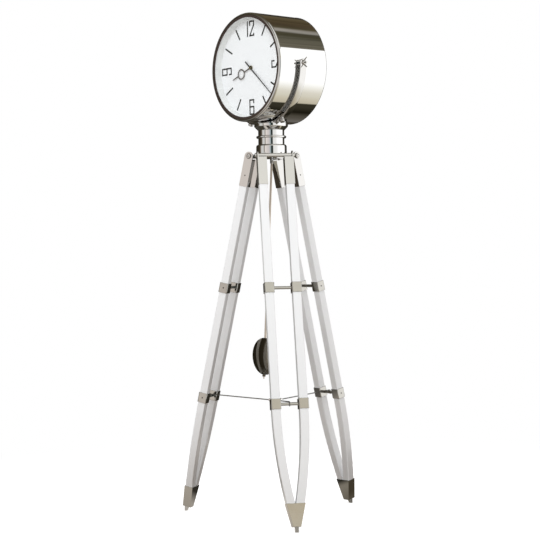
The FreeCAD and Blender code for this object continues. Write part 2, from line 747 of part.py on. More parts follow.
def make_shoes(label, place):
    # Two shoes: an ear on the outer side that turns on the pivot rod, a web, and a socket for the bar.
    body = DOC.addObject("PartDesign::Body", label)
    for side, sign in (("a", ""), ("b", "-")):
        offset = f"{sign}bar_half_spacing"
        pad(
            body, f"{label}_cheek_{side}",
            [rectangle(f"-{SHOE_DEPTH} / 2", "-shoe_drop", f"{SHOE_DEPTH} / 2", "0")],
            SHOE_WIDTH, role="YZ_Plane", offset=offset, both_ways=True,
        )
        pad(body, f"{label}_crown_{side}", [], SHOE_WIDTH, role="YZ_Plane", offset=offset, both_ways=True,
            circles=[("0", "0", f"{SHOE_DEPTH} / 2")])
    for side, sign in (("a", ""), ("b", "-")):
        socket = "(bar_width / 2 + seat_clearance / 2)"
        deep = "(bar_depth / 2 + seat_clearance / 2)"
        middle = f"{sign}bar_half_spacing"
        pocket(
            body, f"{label}_socket_{side}",
            [rectangle(f"{middle} - {socket}", f"-{deep}", f"{middle} + {socket}", deep)],
            "shoe_drop", offset="-shoe_solid_drop",
        )
    notch_side = f"({SHOE_DEPTH} / 2 + cut_overrun)"
    notch_width = f"({SHOE_WIDTH} - shoe_ear_thickness + cut_overrun)"
    for side, sign in (("a", ""), ("b", "-")):
        pocket(
            body, f"{label}_notch_{side}",
            [rectangle(f"-{notch_side}", "-shoe_notch_drop", notch_side, notch_side)],
            notch_width, role="YZ_Plane", both_ways=True,
            offset=f"{sign}(bar_half_spacing - (shoe_ear_thickness + cut_overrun) / 2)",
        )
    pocket(body, f"{label}_bore", [], "4 * bar_half_spacing", role="YZ_Plane", both_ways=True,
           circles=[("0", "0", "rod_radius + running_clearance")])
    screw_spots = [("0", "-shoe_screw_drop", "screw_radius")]
    half = f"(bar_half_spacing + {SHOE_WIDTH} / 2)"
    pocket(body, f"{label}_screw_hole_a", [], "shoe_wall + cut_overrun", role="YZ_Plane",
           offset=f"{half} + cut_overrun", circles=screw_spots)
    pocket(body, f"{label}_screw_hole_b", [], "shoe_wall + cut_overrun", role="YZ_Plane",
           offset=f"-({half} - shoe_wall)", circles=screw_spots)
    finish_part(body, label, place)


def make_clamps(label, place):
    # Four square sleeves, two at each rung, with a tapped hole in each outer side.
    body = DOC.addObject("PartDesign::Body", label)
    inner = "(bar_width / 2 + seat_clearance / 2)"
    inner_deep = "(bar_depth / 2 + seat_clearance / 2)"
    for level, run in (("upper", UPPER_RUN), ("lower", LOWER_RUN)):
        outlines = []
        for sign in ("", "-"):
            middle = f"{sign}bar_half_spacing"
            for half, half_deep in ((f"{CLAMP_WIDTH} / 2", f"{CLAMP_DEPTH} / 2"), (inner, inner_deep)):
                outlines.append(rectangle(
                    f"{middle} - {half}", f"-{half_deep}", f"{middle} + {half}", half_deep,
                ))
        pad(body, f"{label}_{level}", outlines, "clamp_length", offset=f"-{run} - clamp_length / 2")
    round_edges(body, label + "_rounding",
                lambda edge: outer_corner(edge, f"{CLAMP_WIDTH} / 2", f"{CLAMP_DEPTH} / 2"), "clamp_wall")
    spots = [("0", f"-{run}", "screw_radius") for run in (UPPER_RUN, LOWER_RUN)]
    half = f"(bar_half_spacing + {CLAMP_WIDTH} / 2)"
    pocket(body, f"{label}_screw_holes_a", [], "clamp_wall + cut_overrun", role="YZ_Plane",
           offset=f"{half} + cut_overrun", circles=spots)
    pocket(body, f"{label}_screw_holes_b", [], "clamp_wall + cut_overrun", role="YZ_Plane",
           offset=f"-({half} - clamp_wall)", circles=spots)
    finish_part(body, label, place)


def make_rungs(label, place):
    rung_half = f"(bar_half_spacing - {CLAMP_WIDTH} / 2)"
    rungs = []
    for level, run in (("upper", UPPER_RUN), ("lower", LOWER_RUN)):
        place_across = at(f"-{rung_half}", "0", f"-{run}", TOWARDS_X)
        rungs.append(cylinder(f"{label}_{level}", "rung_radius", f"2 * {rung_half}", place_across))
    finish_part(group(label, rungs), label, place)


def make_screws(label, place):
    # Set screws in the clamps and the shoes, each pressing on its bar.
    bar_side = "(bar_half_spacing + bar_width / 2 + seat_clearance / 2)"
    screws = []
    for spot, run, wall in (("upper", UPPER_RUN, "clamp_wall"), ("lower", LOWER_RUN, "clamp_wall"),
                            ("shoe", "shoe_screw_drop", "shoe_wall")):
        for end, sign, facing in (("a", "", TOWARDS_X), ("b", "-", TOWARDS_MINUS_X)):
            screws.append(cylinder(
                f"{label}_{spot}_{end}", "screw_radius", f"{wall} - seat_clearance / 2 + screw_proud",
                at(f"{sign}{bar_side}", "0", f"-{run}", facing),
            ))
    finish_part(group(label, screws), label, place)


BAR_OUTER_END = (
    f"(bar_half_spacing - {BEND_RADIUS} + sqrt(({BEND_RADIUS} + bar_width / 2) ^ 2"
    f" - ({BAR_END_RUN} - {BEND_START_RUN}) ^ 2))"
)


def make_foot_cap(label, place):
    # A V-shaped cap with one socket for both mitred bar ends.
    body = DOC.addObject("PartDesign::Body", label)
    pad(body, f"{label}_wedge", [[
        (f"-{CAP_TOP_HALF}", f"-{CAP_TOP_RUN}"),
        (CAP_TOP_HALF, f"-{CAP_TOP_RUN}"),
        ("cap_bottom_half_width", f"-{CAP_BOTTOM_RUN}"),
        ("-cap_bottom_half_width", f"-{CAP_BOTTOM_RUN}"),
    ]], CAP_DEPTH, role="XZ_Plane", both_ways=True)
    mouth = f"({CAP_TOP_HALF} - cap_wall)"
    floor = f"({BAR_OUTER_END} + seat_clearance / 2)"
    pocket(body, f"{label}_socket", [[
        (f"-{mouth}", f"-{CAP_TOP_RUN} + cut_overrun"),
        (mouth, f"-{CAP_TOP_RUN} + cut_overrun"),
        (mouth, f"-{CAP_TOP_RUN}"),
        (floor, f"-{BAR_END_RUN} - seat_clearance / 2"),
        (f"-{floor}", f"-{BAR_END_RUN} - seat_clearance / 2"),
        (f"-{mouth}", f"-{CAP_TOP_RUN}"),
    ]], "bar_depth + seat_clearance", role="XZ_Plane", both_ways=True)
    finish_part(body, label, place)


TOE_OUT = f"({CAP_DEPTH} / 2 - toe_outer_inset)"
TOE_MIDDLE = f"(pivot_radius + {CAP_BOTTOM_RUN} * sin({SPLAY}))"
TOE_OUTER = f"({TOE_MIDDLE} + {TOE_OUT} * cos({SPLAY}))"


def make_toe(label, turn):
    # A wedge under the cap, with a small level sole on the floor.
    back = f"(toe_top_depth - {TOE_OUT})"
    body = DOC.addObject("PartDesign::Body", label)
    pad(body, f"{label}_wedge", [[
        (f"-{TOE_OUTER}", f"toe_height + {TOE_OUT} * sin({SPLAY})"),
        (f"-{TOE_OUTER}", "0"),
        (f"-({TOE_OUTER} - toe_sole_depth)", "0"),
        (f"-({TOE_MIDDLE} - {back} * cos({SPLAY}))", f"toe_height - {back} * sin({SPLAY})"),
    ]], "toe_width", role="YZ_Plane", both_ways=True)
    finish_part(body, label, placed(turn=f"rotation(vector(0; 0; 1); {turn})"))


for side, turn in LEG_TURNS.items():
    leg_place = leg_placed(turn)
    make_bar(f"leg_{side}_bar_a", "", leg_place)
    make_bar(f"leg_{side}_bar_b", "-", leg_place)
    make_shoes(f"leg_{side}_top_shoes", leg_place)
    make_clamps(f"leg_{side}_clamps", leg_place)
    make_rungs(f"leg_{side}_rungs", leg_place)
    make_screws(f"leg_{side}_screws", leg_place)
    make_foot_cap(f"leg_{side}_foot_cap", leg_place)
    make_toe(f"leg_{side}_toe", turn)

# Spreader: a hub with three forked lugs, and three tie rods that hook over the lower rungs.
HUB_HEIGHT = "(lower_rung_height - hub_drop)"
FORK_GAP = "(2 * tie_radius + 2 * seat_clearance)"
FORK_WIDTH = f"({FORK_GAP} + 2 * hub_ear_thickness)"
hub_disc = cylinder("hub_disc", "hub_radius", "hub_thickness", at(z=f"{HUB_HEIGHT} - hub_thickness / 2"))
hub_lugs = []
hub_gaps = []
hub_pins = []
for side, turn in LEG_TURNS.items():
    spin = f"rotation(vector(0; 0; 1); {turn})"
    lug_corner = f"{spin} * vector(-{FORK_WIDTH} / 2; -hub_pin_distance; {HUB_HEIGHT} - hub_thickness / 2)"
    pin_start = f"{spin} * vector(-{FORK_WIDTH} / 2; -hub_pin_distance; {HUB_HEIGHT})"
    hub_lugs.append(box(
        "hub_lug_" + side, FORK_WIDTH, "hub_pin_distance", "hub_thickness", f"placement({lug_corner}; {spin})",
    ))
    hub_lugs.append(cylinder(
        "hub_lug_end_" + side, "hub_thickness / 2", FORK_WIDTH, f"placement({pin_start}; {spin} * {TOWARDS_X})",
    ))
    gap_reach = "(tie_eye_radius + seat_clearance)"
    hub_gaps.append(box(
        "hub_gap_" + side, FORK_GAP, f"2 * {gap_reach}", f"2 * {gap_reach} + hub_thickness",
        f"placement({spin} * vector(-{FORK_GAP} / 2; -hub_pin_distance - {gap_reach};"
        f" {HUB_HEIGHT} - {gap_reach} - hub_thickness / 2); {spin})",
    ))
    hub_pins.append(cylinder(
        "hub_pin_" + side, "hub_pin_radius", FORK_WIDTH, f"placement({pin_start}; {spin} * {TOWARDS_X})",
    ))
hub_open = cut("hub_forked", fuse("hub_solid", hub_disc, *hub_lugs), fuse("hub_gap_cuts", *hub_gaps))
finish_part(fuse("spreader_hub", hub_open, *hub_pins), "spreader_hub", STAND_PLACE)

HOOK_RADIUS = "(rung_radius + tie_radius + seat_clearance)"
TIE_FLAT = f"({LOWER_RUNG_RADIUS} - hub_pin_distance)"
TIE_REACH = f"sqrt({TIE_FLAT} ^ 2 + hub_drop ^ 2)"
TIE_SPAN = f"sqrt({TIE_FLAT} ^ 2 + hub_drop ^ 2 - {HOOK_RADIUS} ^ 2)"
TIE_RISE = f"(atan(hub_drop / {TIE_FLAT}) + asin({HOOK_RADIUS} / {TIE_REACH}))"


def make_tie(label, turn):
    # In the tie's own frame the hub pin is the origin and the rod runs along -Y.
    spin = f"rotation(vector(0; 0; 1); {turn})"
    place = (
        f"placement(vector(0; {AXIS_BACK}; 0) + {spin} * vector(0; -hub_pin_distance; {HUB_HEIGHT});"
        f" {spin} * rotation(vector(1; 0; 0); -{TIE_RISE}))"
    )
    eye = cylinder(label + "_eye", "tie_eye_radius", "tie_eye_width",
                   at("-tie_eye_width / 2", "0", "0", TOWARDS_X))
    bore = cylinder(label + "_bore", "hub_pin_radius + running_clearance", "2 * tie_eye_width",
                    at("-tie_eye_width", "0", "0", TOWARDS_X))
    rod = cylinder(label + "_rod", "tie_radius", f"{TIE_SPAN} - hub_pin_radius - tie_radius / 2",
                   at("0", "-(hub_pin_radius + tie_radius / 2)", "0", "rotation(vector(1; 0; 0); 90)"))
    hook = DOC.addObject("Part::Torus", label + "_hook")
    hook.setExpression("Radius1", bind(HOOK_RADIUS))
    hook.setExpression("Radius2", bind("tie_radius"))
    hook.setExpression("Angle3", bind("hook_wrap_angle"))
    hook_turn = "rotation(vector(0; 0; 1); 180) * rotation(vector(0; 1; 0); -90)"
    hook.setExpression("Placement", bind(at("0", f"-{TIE_SPAN}", f"-{HOOK_RADIUS}", hook_turn)))
    finish_part(cut(label, fuse(label + "_solid", eye, rod, hook), bore), label, place)


for side, turn in LEG_TURNS.items():
    make_tie(f"tie_rod_{side}", turn)

# Yoke: a saddle cup that turns on the column, a strap in its cradle, and two arms up to the trunnions.
STEM_BOTTOM = f"({COLUMN_SHELF} - seat_clearance - stem_nut_height)"
CUP_TOP = f"({DRUM_HEIGHT} - sqrt({CRADLE_RADIUS} ^ 2 - cup_rim_radius ^ 2))"
CUP_BAND_BOTTOM = f"({CUP_BOTTOM} + cup_flare_height)"
CUP_BAND_TOP = f"({CUP_BAND_BOTTOM} + cup_band_height)"
cup = DOC.addObject("PartDesign::Body", "yoke_cup")
revolve(cup, "yoke_cup_turned", [
    ("0", STEM_BOTTOM),
    ("stem_radius", STEM_BOTTOM),
    ("stem_radius", CUP_BOTTOM),
    ("cup_base_radius", CUP_BOTTOM),
    ("cup_radius", CUP_BAND_BOTTOM),
    ("cup_radius", CUP_BAND_TOP),
    ("cup_rim_radius", CUP_TOP),
    ("0", CUP_TOP),
])
band_rims = rim_at("cup_radius", CUP_BAND_BOTTOM, CUP_BAND_TOP)
round_edges(cup, "cup_rounding", band_rims, "cup_band_height / 2 - seat_clearance")
pocket(cup, "cup_cradle", [], "4 * cup_radius", role="XZ_Plane", both_ways=True,
       circles=[("0", DRUM_HEIGHT, CRADLE_RADIUS)])
pocket(cup, "cup_strap_seat", [], "arm_width + seat_clearance", role="XZ_Plane", offset="yoke_forward",
       both_ways=True, circles=[("0", DRUM_HEIGHT, STRAP_OUTER)])
finish_part(cup, "yoke_cup", STAND_PLACE)


def radial(turn, start):
    # A place in the case's frame whose Z axis points outwards at an angle from straight down.
    spin = f"rotation(vector(0; 0; 1); {turn}) * rotation(vector(1; 0; 0); 90)"
    return f"placement({spin} * vector(0; 0; {start}); {spin})"


def bolt_holes(name):
    holes = [
        cylinder(f"{name}_{side}", "arm_bolt_radius", "arm_thickness + strap_thickness + 2 * cut_overrun",
                 radial(turn, f"{CRADLE_RADIUS} - cut_overrun"))
        for side, turn in (("left", "-arm_bolt_angle"), ("right", "arm_bolt_angle"))
    ]
    return fuse(name, *holes)


strap = DOC.addObject("PartDesign::Body", "strap_band")
strap_sketch = sketch_on(strap, "strap_sketch")
add_ring_sector(strap_sketch, CRADLE_RADIUS, STRAP_OUTER, "-strap_half_angle", "strap_half_angle",
                "DistanceX", "DistanceX")
strap_pad = strap.newObject("PartDesign::Pad", "strap_pad")
strap_pad.Profile = strap_sketch
strap_pad.SideType = "Symmetric"
strap_pad.setExpression("Length", bind("arm_width"))
finish_part(cut("yoke_strap", strap, bolt_holes("strap_bolt_holes")), "yoke_strap", DRUM_PLACE)


def make_arm(label, sign):
    # An arm that hugs the case from the strap's end up to the trunnion, where it widens into an eye.
    body = DOC.addObject("PartDesign::Body", label + "_band")
    sketch = sketch_on(body, label + "_sketch")
    if sign == "":
        add_ring_sector(sketch, ARM_INNER, ARM_OUTER, "arm_start_angle", "90", "DistanceX", "DistanceY")
    else:
        add_ring_sector(sketch, ARM_INNER, ARM_OUTER, "-90", "-arm_start_angle", "DistanceY", "DistanceX")
    band = body.newObject("PartDesign::Pad", label + "_pad")
    band.Profile = sketch
    band.SideType = "Symmetric"
    band.setExpression("Length", bind("arm_width"))
    face = ARM_INNER if sign == "" else f"-{ARM_OUTER}"
    pad(body, label + "_eye", [], "arm_thickness", role="YZ_Plane", offset=face,
        circles=[("0", "0", "arm_eye_radius")])
    pocket(body, label + "_eye_bore", [], f"3 * {ARM_OUTER}", role="YZ_Plane", both_ways=True,
           circles=[("0", "0", "stud_radius + running_clearance")])
    finish_part(cut(label, body, bolt_holes(label + "_bolt_holes")), label, DRUM_PLACE)


make_arm("yoke_arm_left", "-")
make_arm("yoke_arm_right", "")

arm_bolts = []
for side, turn in (("left", "-arm_bolt_angle"), ("right", "arm_bolt_angle")):
    arm_bolts.append(turned_piece("arm_bolt_" + side, [
        ("0", "0"),
        ("arm_bolt_radius", "0"),
        ("arm_bolt_radius", "arm_thickness + strap_thickness"),
        ("arm_bolt_head_radius", "arm_thickness + strap_thickness"),
        ("arm_bolt_head_radius", "arm_thickness + strap_thickness + arm_bolt_head_height - arm_bolt_chamfer"),
        ("arm_bolt_head_radius - arm_bolt_chamfer", "arm_thickness + strap_thickness + arm_bolt_head_height"),
        ("0", "arm_thickness + strap_thickness + arm_bolt_head_height"),
    ], radial(turn, CRADLE_RADIUS)))
stem_nut = turned_piece("stem_nut", [
    ("stem_radius", STEM_BOTTOM),
    ("stem_nut_radius", STEM_BOTTOM),
    ("stem_nut_radius", f"{STEM_BOTTOM} + stem_nut_height"),
    ("stem_radius", f"{STEM_BOTTOM} + stem_nut_height"),
], at("0", f"-{DRUM_HEIGHT}", "-yoke_forward", "rotation(vector(1; 0; 0); -90)"))
finish_part(group("yoke_bolts", arm_bolts + [stem_nut]), "yoke_bolts", DRUM_PLACE)

# Case: shell, bezel, gasket, glass, dial ring and dial, all turned about the case's axis.
CASE_BORE = "(drum_radius - case_wall)"
INSIDE_RADIUS = f"({CASE_BORE} - seat_clearance)"
SHELL_FRONT = "(drum_front_depth - bezel_skirt)"
COVER_SEAT = "(back_cover_thickness - drum_back_depth)"
shell = revolved("case_shell", [
    ("drum_radius", "-drum_back_depth"),
    ("drum_radius", SHELL_FRONT),
    (CASE_BORE, SHELL_FRONT),
    (CASE_BORE, f"{COVER_SEAT} + case_lip_thickness"),
    (f"{CASE_BORE} - case_lip", f"{COVER_SEAT} + case_lip_thickness"),
    (f"{CASE_BORE} - case_lip", COVER_SEAT),
    (CASE_BORE, COVER_SEAT),
    (CASE_BORE, "-drum_back_depth"),
], DRUM_PLACE)

BEZEL_BORE = "(drum_radius - bezel_width)"
LIP_BACK = "(drum_front_depth - bezel_lip)"
SEAT_RADIUS = f"({BEZEL_BORE} + bezel_seat_width)"
SEAT_BACK = "(drum_front_depth - bezel_seat_depth)"
GLASS_RADIUS = f"({SEAT_RADIUS} - seat_clearance)"
bezel = revolved("bezel_ring", [
    ("drum_radius", SHELL_FRONT),
    ("drum_radius", "drum_front_depth"),
    (BEZEL_BORE, "drum_front_depth"),
    (BEZEL_BORE, LIP_BACK),
    (SEAT_RADIUS, LIP_BACK),
    (SEAT_RADIUS, SEAT_BACK),
    (CASE_BORE, SEAT_BACK),
    (CASE_BORE, SHELL_FRONT),
], DRUM_PLACE)
round_edges(bezel, "bezel_rounding", rim_at("drum_radius", "drum_front_depth"), "bezel_round")

GASKET_BACK = f"({LIP_BACK} - gasket_thickness)"
revolved("bezel_gasket", [
    (f"{BEZEL_BORE} - gasket_width", GASKET_BACK),
    (GLASS_RADIUS, GASKET_BACK),
    (GLASS_RADIUS, LIP_BACK),
    (f"{BEZEL_BORE} - gasket_width", LIP_BACK),
], DRUM_PLACE)

GLASS_BACK = f"({GASKET_BACK} - glass_thickness)"
revolved("front_glass", [
    ("0", GLASS_BACK),
    (GLASS_RADIUS, GLASS_BACK),
    (GLASS_RADIUS, GASKET_BACK),
    ("0", GASKET_BACK),
], DRUM_PLACE)

DIAL_FACE = "(drum_front_depth - dial_recess)"
DIAL_BACK = f"({DIAL_FACE} - dial_thickness)"
RING_BORE = f"({BEZEL_BORE} - gasket_width + dial_ring_wall)"
DIAL_EDGE = f"({RING_BORE} - dial_ring_step)"
MARKING_EDGE = f"({DIAL_EDGE} - marking_rim_gap)"
revolved("dial_ring", [
    (DIAL_EDGE, DIAL_FACE),
    (INSIDE_RADIUS, DIAL_FACE),
    (INSIDE_RADIUS, SEAT_BACK),
    (GLASS_RADIUS, SEAT_BACK),
    (GLASS_RADIUS, GLASS_BACK),
    (RING_BORE, GLASS_BACK),
], DRUM_PLACE)

dial = DOC.addObject("PartDesign::Body", "dial_plate")
pad(dial, "dial_disc", [], "dial_thickness", offset=DIAL_BACK,
    circles=[("0", "0", INSIDE_RADIUS), ("0", "0", "bushing_radius + running_clearance")])
finish_part(dial, "dial_plate", DRUM_PLACE)

# Numerals: strokes as shares of the numeral's width and height, from its lower left corner.
NUMERAL_STROKE_SHARES = {
    "1": [((0.5, 0), (0.5, 1))],
    "2": [((0, 0.74), (0, 1)), ((0, 1), (1, 1)), ((1, 1), (1, 0.72)), ((1, 0.72), (0, 0)), ((0, 0), (1, 0)),
          ((1, 0), (1, 0.1))],
    "3": [((0, 0.9), (0, 1)), ((0, 1), (1, 1)), ((1, 1), (0.4, 0.58)), ((0.4, 0.58), (1, 0.42)),
          ((1, 0.42), (1, 0)), ((1, 0), (0, 0)), ((0, 0), (0, 0.24))],
    "6": [((0, 0), (0, 1)), ((0, 1), (1, 1)), ((1, 1), (1, 0.8)), ((0, 0.52), (1, 0.52)), ((1, 0.52), (1, 0)),
          ((0, 0), (1, 0))],
    "9": [((1, 0), (1, 1)), ((0, 0), (1, 0)), ((0, 0), (0, 0.2)), ((0, 0.48), (1, 0.48)), ((0, 0.48), (0, 1)),
          ((0, 1), (1, 1))],
}
STROKE_SPAN = "(numeral_height - numeral_stroke)"
NUMERAL_MIDDLE = f"({MARKING_EDGE} - numeral_height / 2)"


def make_digit(name, digit, width, x, y, turn):
    # One digit about its own middle, each stroke a bar from one corner of its path to the next.
    across = f"({width} - numeral_stroke)"
    spin = f"rotation(vector(0; 0; 1); {turn})"
    strokes = []
    for number, ((x0, y0), (x1, y1)) in enumerate(NUMERAL_STROKE_SHARES[digit]):
        run = f"({x1 - x0:.3f} * {across})"
        rise = f"({y1 - y0:.3f} * {STROKE_SPAN})"
        aside = (x0 + x1 - 1) / 2
        above = (y0 + y1 - 1) / 2
        middle = f"vector(({aside:.3f}) * {across}; ({above:.3f}) * {STROKE_SPAN}; 0)"
        length = f"(sqrt({run} ^ 2 + {rise} ^ 2) + numeral_stroke)"
        tilt = f"rotation(vector(0; 0; 1); atan2({rise}; {run}))"
        corner = (
            f"vector({x}; {y}; {DIAL_FACE}) + {spin} * ({middle}"
            f" + {tilt} * vector(-{length} / 2; -numeral_stroke / 2; 0))"
        )
        strokes.append(box(f"{name}_stroke_{number}", length, "numeral_stroke", "marking_thickness",
                           f"placement({corner}; {spin} * {tilt})"))
    return strokes[0] if len(strokes) == 1 else fuse(name, *strokes)


TWELVE_TWO = "((twelve_width - numeral_width) / 2)"
TWELVE_ONE = "((numeral_stroke - twelve_width) / 2)"
markings = [
    make_digit("digit_twelve_one", "1", "numeral_width", TWELVE_ONE, NUMERAL_MIDDLE, "0"),
    make_digit("digit_twelve_two", "2", "numeral_width", TWELVE_TWO, NUMERAL_MIDDLE, "0"),
    make_digit("digit_three", "3", "numeral_width", NUMERAL_MIDDLE, "0", "-90"),
    make_digit("digit_six", "6", "numeral_width", "0", f"-{NUMERAL_MIDDLE}", "0"),
    make_digit("digit_nine", "9", "numeral_width", f"-{NUMERAL_MIDDLE}", "0", "90"),
]
for hour in range(12):
    if hour % 3 == 0:
        continue
    turn = f"{-30 * hour}"
    spin = f"rotation(vector(0; 0; 1); {turn})"
    corner = f"{spin} * vector(-hour_bar_width / 2; {MARKING_EDGE} - hour_bar_length; {DIAL_FACE})"
    markings.append(box(
        f"hour_bar_{hour}", "hour_bar_width", "hour_bar_length", "marking_thickness",
        f"placement({corner}; {spin})",
    ))
finish_part(group("dial_markings", markings), "dial_markings", DRUM_PLACE)

# Movement behind the dial, with its threaded bushing, nut and setting knob.
BUSHING_TOP = f"({DIAL_FACE} + bushing_rise)"
MOVEMENT_BACK = f"({DIAL_BACK} - movement_depth)"
HOUR_BORE = "(hour_tube_radius + running_clearance)"
movement = DOC.addObject("PartDesign::Body", "movement_case")
HALF_MOVEMENT = "movement_size / 2"
movement_outline = rectangle(f"-{HALF_MOVEMENT}", f"-{HALF_MOVEMENT}", HALF_MOVEMENT, HALF_MOVEMENT)
pad(movement, "movement_box", [movement_outline], "movement_depth", offset=MOVEMENT_BACK)
round_edges(movement, "movement_corners", upright, "movement_round")
pad(movement, "movement_bushing", [], "dial_thickness + bushing_rise", offset=DIAL_BACK,
    circles=[("0", "0", "bushing_radius")])
ARBOR_FLOOR = f"({DIAL_FACE} + hour_plate_rise - minute_arbor_length)"
pocket(movement, "movement_arbor_bore", [], f"{BUSHING_TOP} - {ARBOR_FLOOR} + seat_clearance",
       offset=BUSHING_TOP, circles=[("0", "0", HOUR_BORE)])
pocket(movement, "movement_knob_bore", [], "set_knob_stem_length + seat_clearance",
       offset=f"{MOVEMENT_BACK} + set_knob_stem_length + seat_clearance",
       circles=[("0", "-set_knob_offset", "set_knob_stem_radius + running_clearance")])
finish_part(movement, "movement_case", DRUM_PLACE)

bushing_nut = DOC.addObject("PartDesign::Body", "movement_nut")
pad(bushing_nut, "movement_nut_hexagon", [polygon_points(6, "bushing_nut_radius")], "bushing_nut_height",
    offset=DIAL_FACE, circles=[("0", "0", "bushing_radius")])
finish_part(bushing_nut, "movement_nut", DRUM_PLACE)

# Hands. Each is drawn pointing to twelve and turned to its hour by its place.
HOUR_PLATE = f"({DIAL_FACE} + hour_plate_rise)"
MINUTE_PLATE = f"({HOUR_PLATE} + hand_thickness + hand_plate_gap)"
HOUR_LENGTH = f"({DIAL_EDGE} * hour_hand_share)"
HOUR_RING_MIDDLE = f"({DIAL_EDGE} * hour_ring_share)"
MINUTE_LENGTH = f"({DIAL_EDGE} * minute_hand_share)"


def hand_place(angle):
    turn = f"rotation(vector(1; 0; 0); 90) * rotation(vector(0; 0; 1); -{angle})"
    return placed("0", "-yoke_forward", DRUM_HEIGHT, turn)


def blade(root, tip, half_root, half_tip):
    return [(f"-{half_root}", root), (half_root, root), (half_tip, tip), (f"-{half_tip}", tip)]


hour = DOC.addObject("PartDesign::Body", "hour_hand")
RING_INNER = "(hour_ring_radius - hour_ring_width)"
pad(hour, "hour_boss", [], "hand_thickness", offset=HOUR_PLATE, circles=[("0", "0", "hour_boss_radius")])
RING_REACH = f"({RING_INNER} + hour_ring_width / 2)"
stem_blade = blade("0", f"{HOUR_RING_MIDDLE} - {RING_REACH}", "hour_hand_width / 2", "hour_hand_width / 2")
tip_blade = blade(f"{HOUR_RING_MIDDLE} + {RING_REACH}", HOUR_LENGTH,
                  "hour_hand_width / 2", "hour_hand_tip_width / 2")
pad(hour, "hour_stem", [stem_blade], "hand_thickness", offset=HOUR_PLATE)
pad(hour, "hour_ring", [], "hand_thickness", offset=HOUR_PLATE,
    circles=[("0", HOUR_RING_MIDDLE, "hour_ring_radius"), ("0", HOUR_RING_MIDDLE, RING_INNER)])
pad(hour, "hour_tip", [tip_blade], "hand_thickness", offset=HOUR_PLATE)
pad(hour, "hour_tube", [], "hour_tube_length", offset=f"{HOUR_PLATE} - hour_tube_length",
    circles=[("0", "0", "hour_tube_radius")])
pocket(hour, "hour_bore", [], "hour_tube_length + hand_thickness + cut_overrun",
       offset=f"{HOUR_PLATE} + hand_thickness", circles=[("0", "0", "hour_tube_bore")])
finish_part(hour, "hour_hand", hand_place("hour_angle"))

minute = DOC.addObject("PartDesign::Body", "minute_hand")
pad(minute, "minute_blade", [[
    ("-minute_hand_tip_width / 2", MINUTE_LENGTH),
    ("-minute_hand_width / 2", "0"),
    ("-minute_hand_width / 2", "-minute_hand_tail"),
    ("minute_hand_width / 2", "-minute_hand_tail"),
    ("minute_hand_width / 2", "0"),
    ("minute_hand_tip_width / 2", MINUTE_LENGTH),
]], "hand_thickness", offset=MINUTE_PLATE)
pad(minute, "minute_boss", [], "hand_thickness", offset=MINUTE_PLATE,
    circles=[("0", "0", "minute_boss_radius")])
pad(minute, "minute_arbor", [], "minute_arbor_length", offset=f"{MINUTE_PLATE} - minute_arbor_length",
    circles=[("0", "0", "hour_tube_bore - running_clearance")])
finish_part(minute, "minute_hand", hand_place("minute_angle"))

NUT_SEAT = f"({MINUTE_PLATE} + hand_thickness)"
hand_nut = revolved("hand_nut", [
    ("0", NUT_SEAT),
    ("hand_nut_radius", NUT_SEAT),
    ("hand_nut_radius", f"{NUT_SEAT} + hand_nut_shoulder"),
    ("hand_nut_tip_radius", f"{NUT_SEAT} + hand_nut_height"),
    ("0", f"{NUT_SEAT} + hand_nut_height"),
], hand_place("minute_angle"))

revolved("set_knob", [
    ("0", "-set_knob_height - seat_clearance"),
    ("set_knob_radius", "-set_knob_height - seat_clearance"),
    ("set_knob_radius", "-seat_clearance"),
    ("set_knob_stem_radius", "-seat_clearance"),
    ("set_knob_stem_radius", "set_knob_stem_length"),
    ("0", "set_knob_stem_length"),
], placed(
    "0", f"-yoke_forward - {MOVEMENT_BACK}", f"{DRUM_HEIGHT} - set_knob_offset",
    "rotation(vector(1; 0; 0); 90)",
))

# Back cover in the shell's rear seat, with its screws.
revolved("back_cover", [
    ("0", "-drum_back_depth"),
    (INSIDE_RADIUS, "-drum_back_depth"),
    (INSIDE_RADIUS, COVER_SEAT),
    ("0", COVER_SEAT),
], DRUM_PLACE)
cover_screws = [
    cylinder(f"back_screw_{number}", "back_screw_radius", "back_screw_height",
             f"placement(rotation(vector(0; 0; 1); {angle}) * vector({INSIDE_RADIUS} - back_screw_inset; 0;"
             f" -drum_back_depth - back_screw_height); rotation(vector(0; 0; 1); 0))")
    for number, angle in enumerate((45, 135, 225, 315))
]
finish_part(group("back_cover_screws", cover_screws), "back_cover_screws", DRUM_PLACE)

# Trunnion studs on the sides of the shell, and the wing nuts that clamp the arms to them.
BOSS_FACE = f"(sqrt({ARM_INNER} ^ 2 - stud_boss_radius ^ 2) - seat_clearance)"
shell_solid = cylinder("trunnion_seat", "drum_radius", "4 * arm_eye_radius",
                       at(z="-2 * arm_eye_radius"))
studs = []
for side, sign, facing in (("left", "-", TOWARDS_MINUS_X), ("right", "", TOWARDS_X)):
    boss = cylinder("stud_boss_" + side, "stud_boss_radius", f"{BOSS_FACE} - drum_radius + case_wall",
                    at(f"{sign}(drum_radius - case_wall)", "0", "0", facing))
    shank = cylinder("stud_shank_" + side, "stud_radius", f"{BOSS_FACE} - drum_radius + stud_length",
                     at(f"{sign}drum_radius", "0", "0", facing))
    studs.append(cut("trunnion_stud_" + side, fuse("stud_solid_" + side, boss, shank), shell_solid))
finish_part(group("trunnion_studs", studs), "trunnion_studs", DRUM_PLACE)


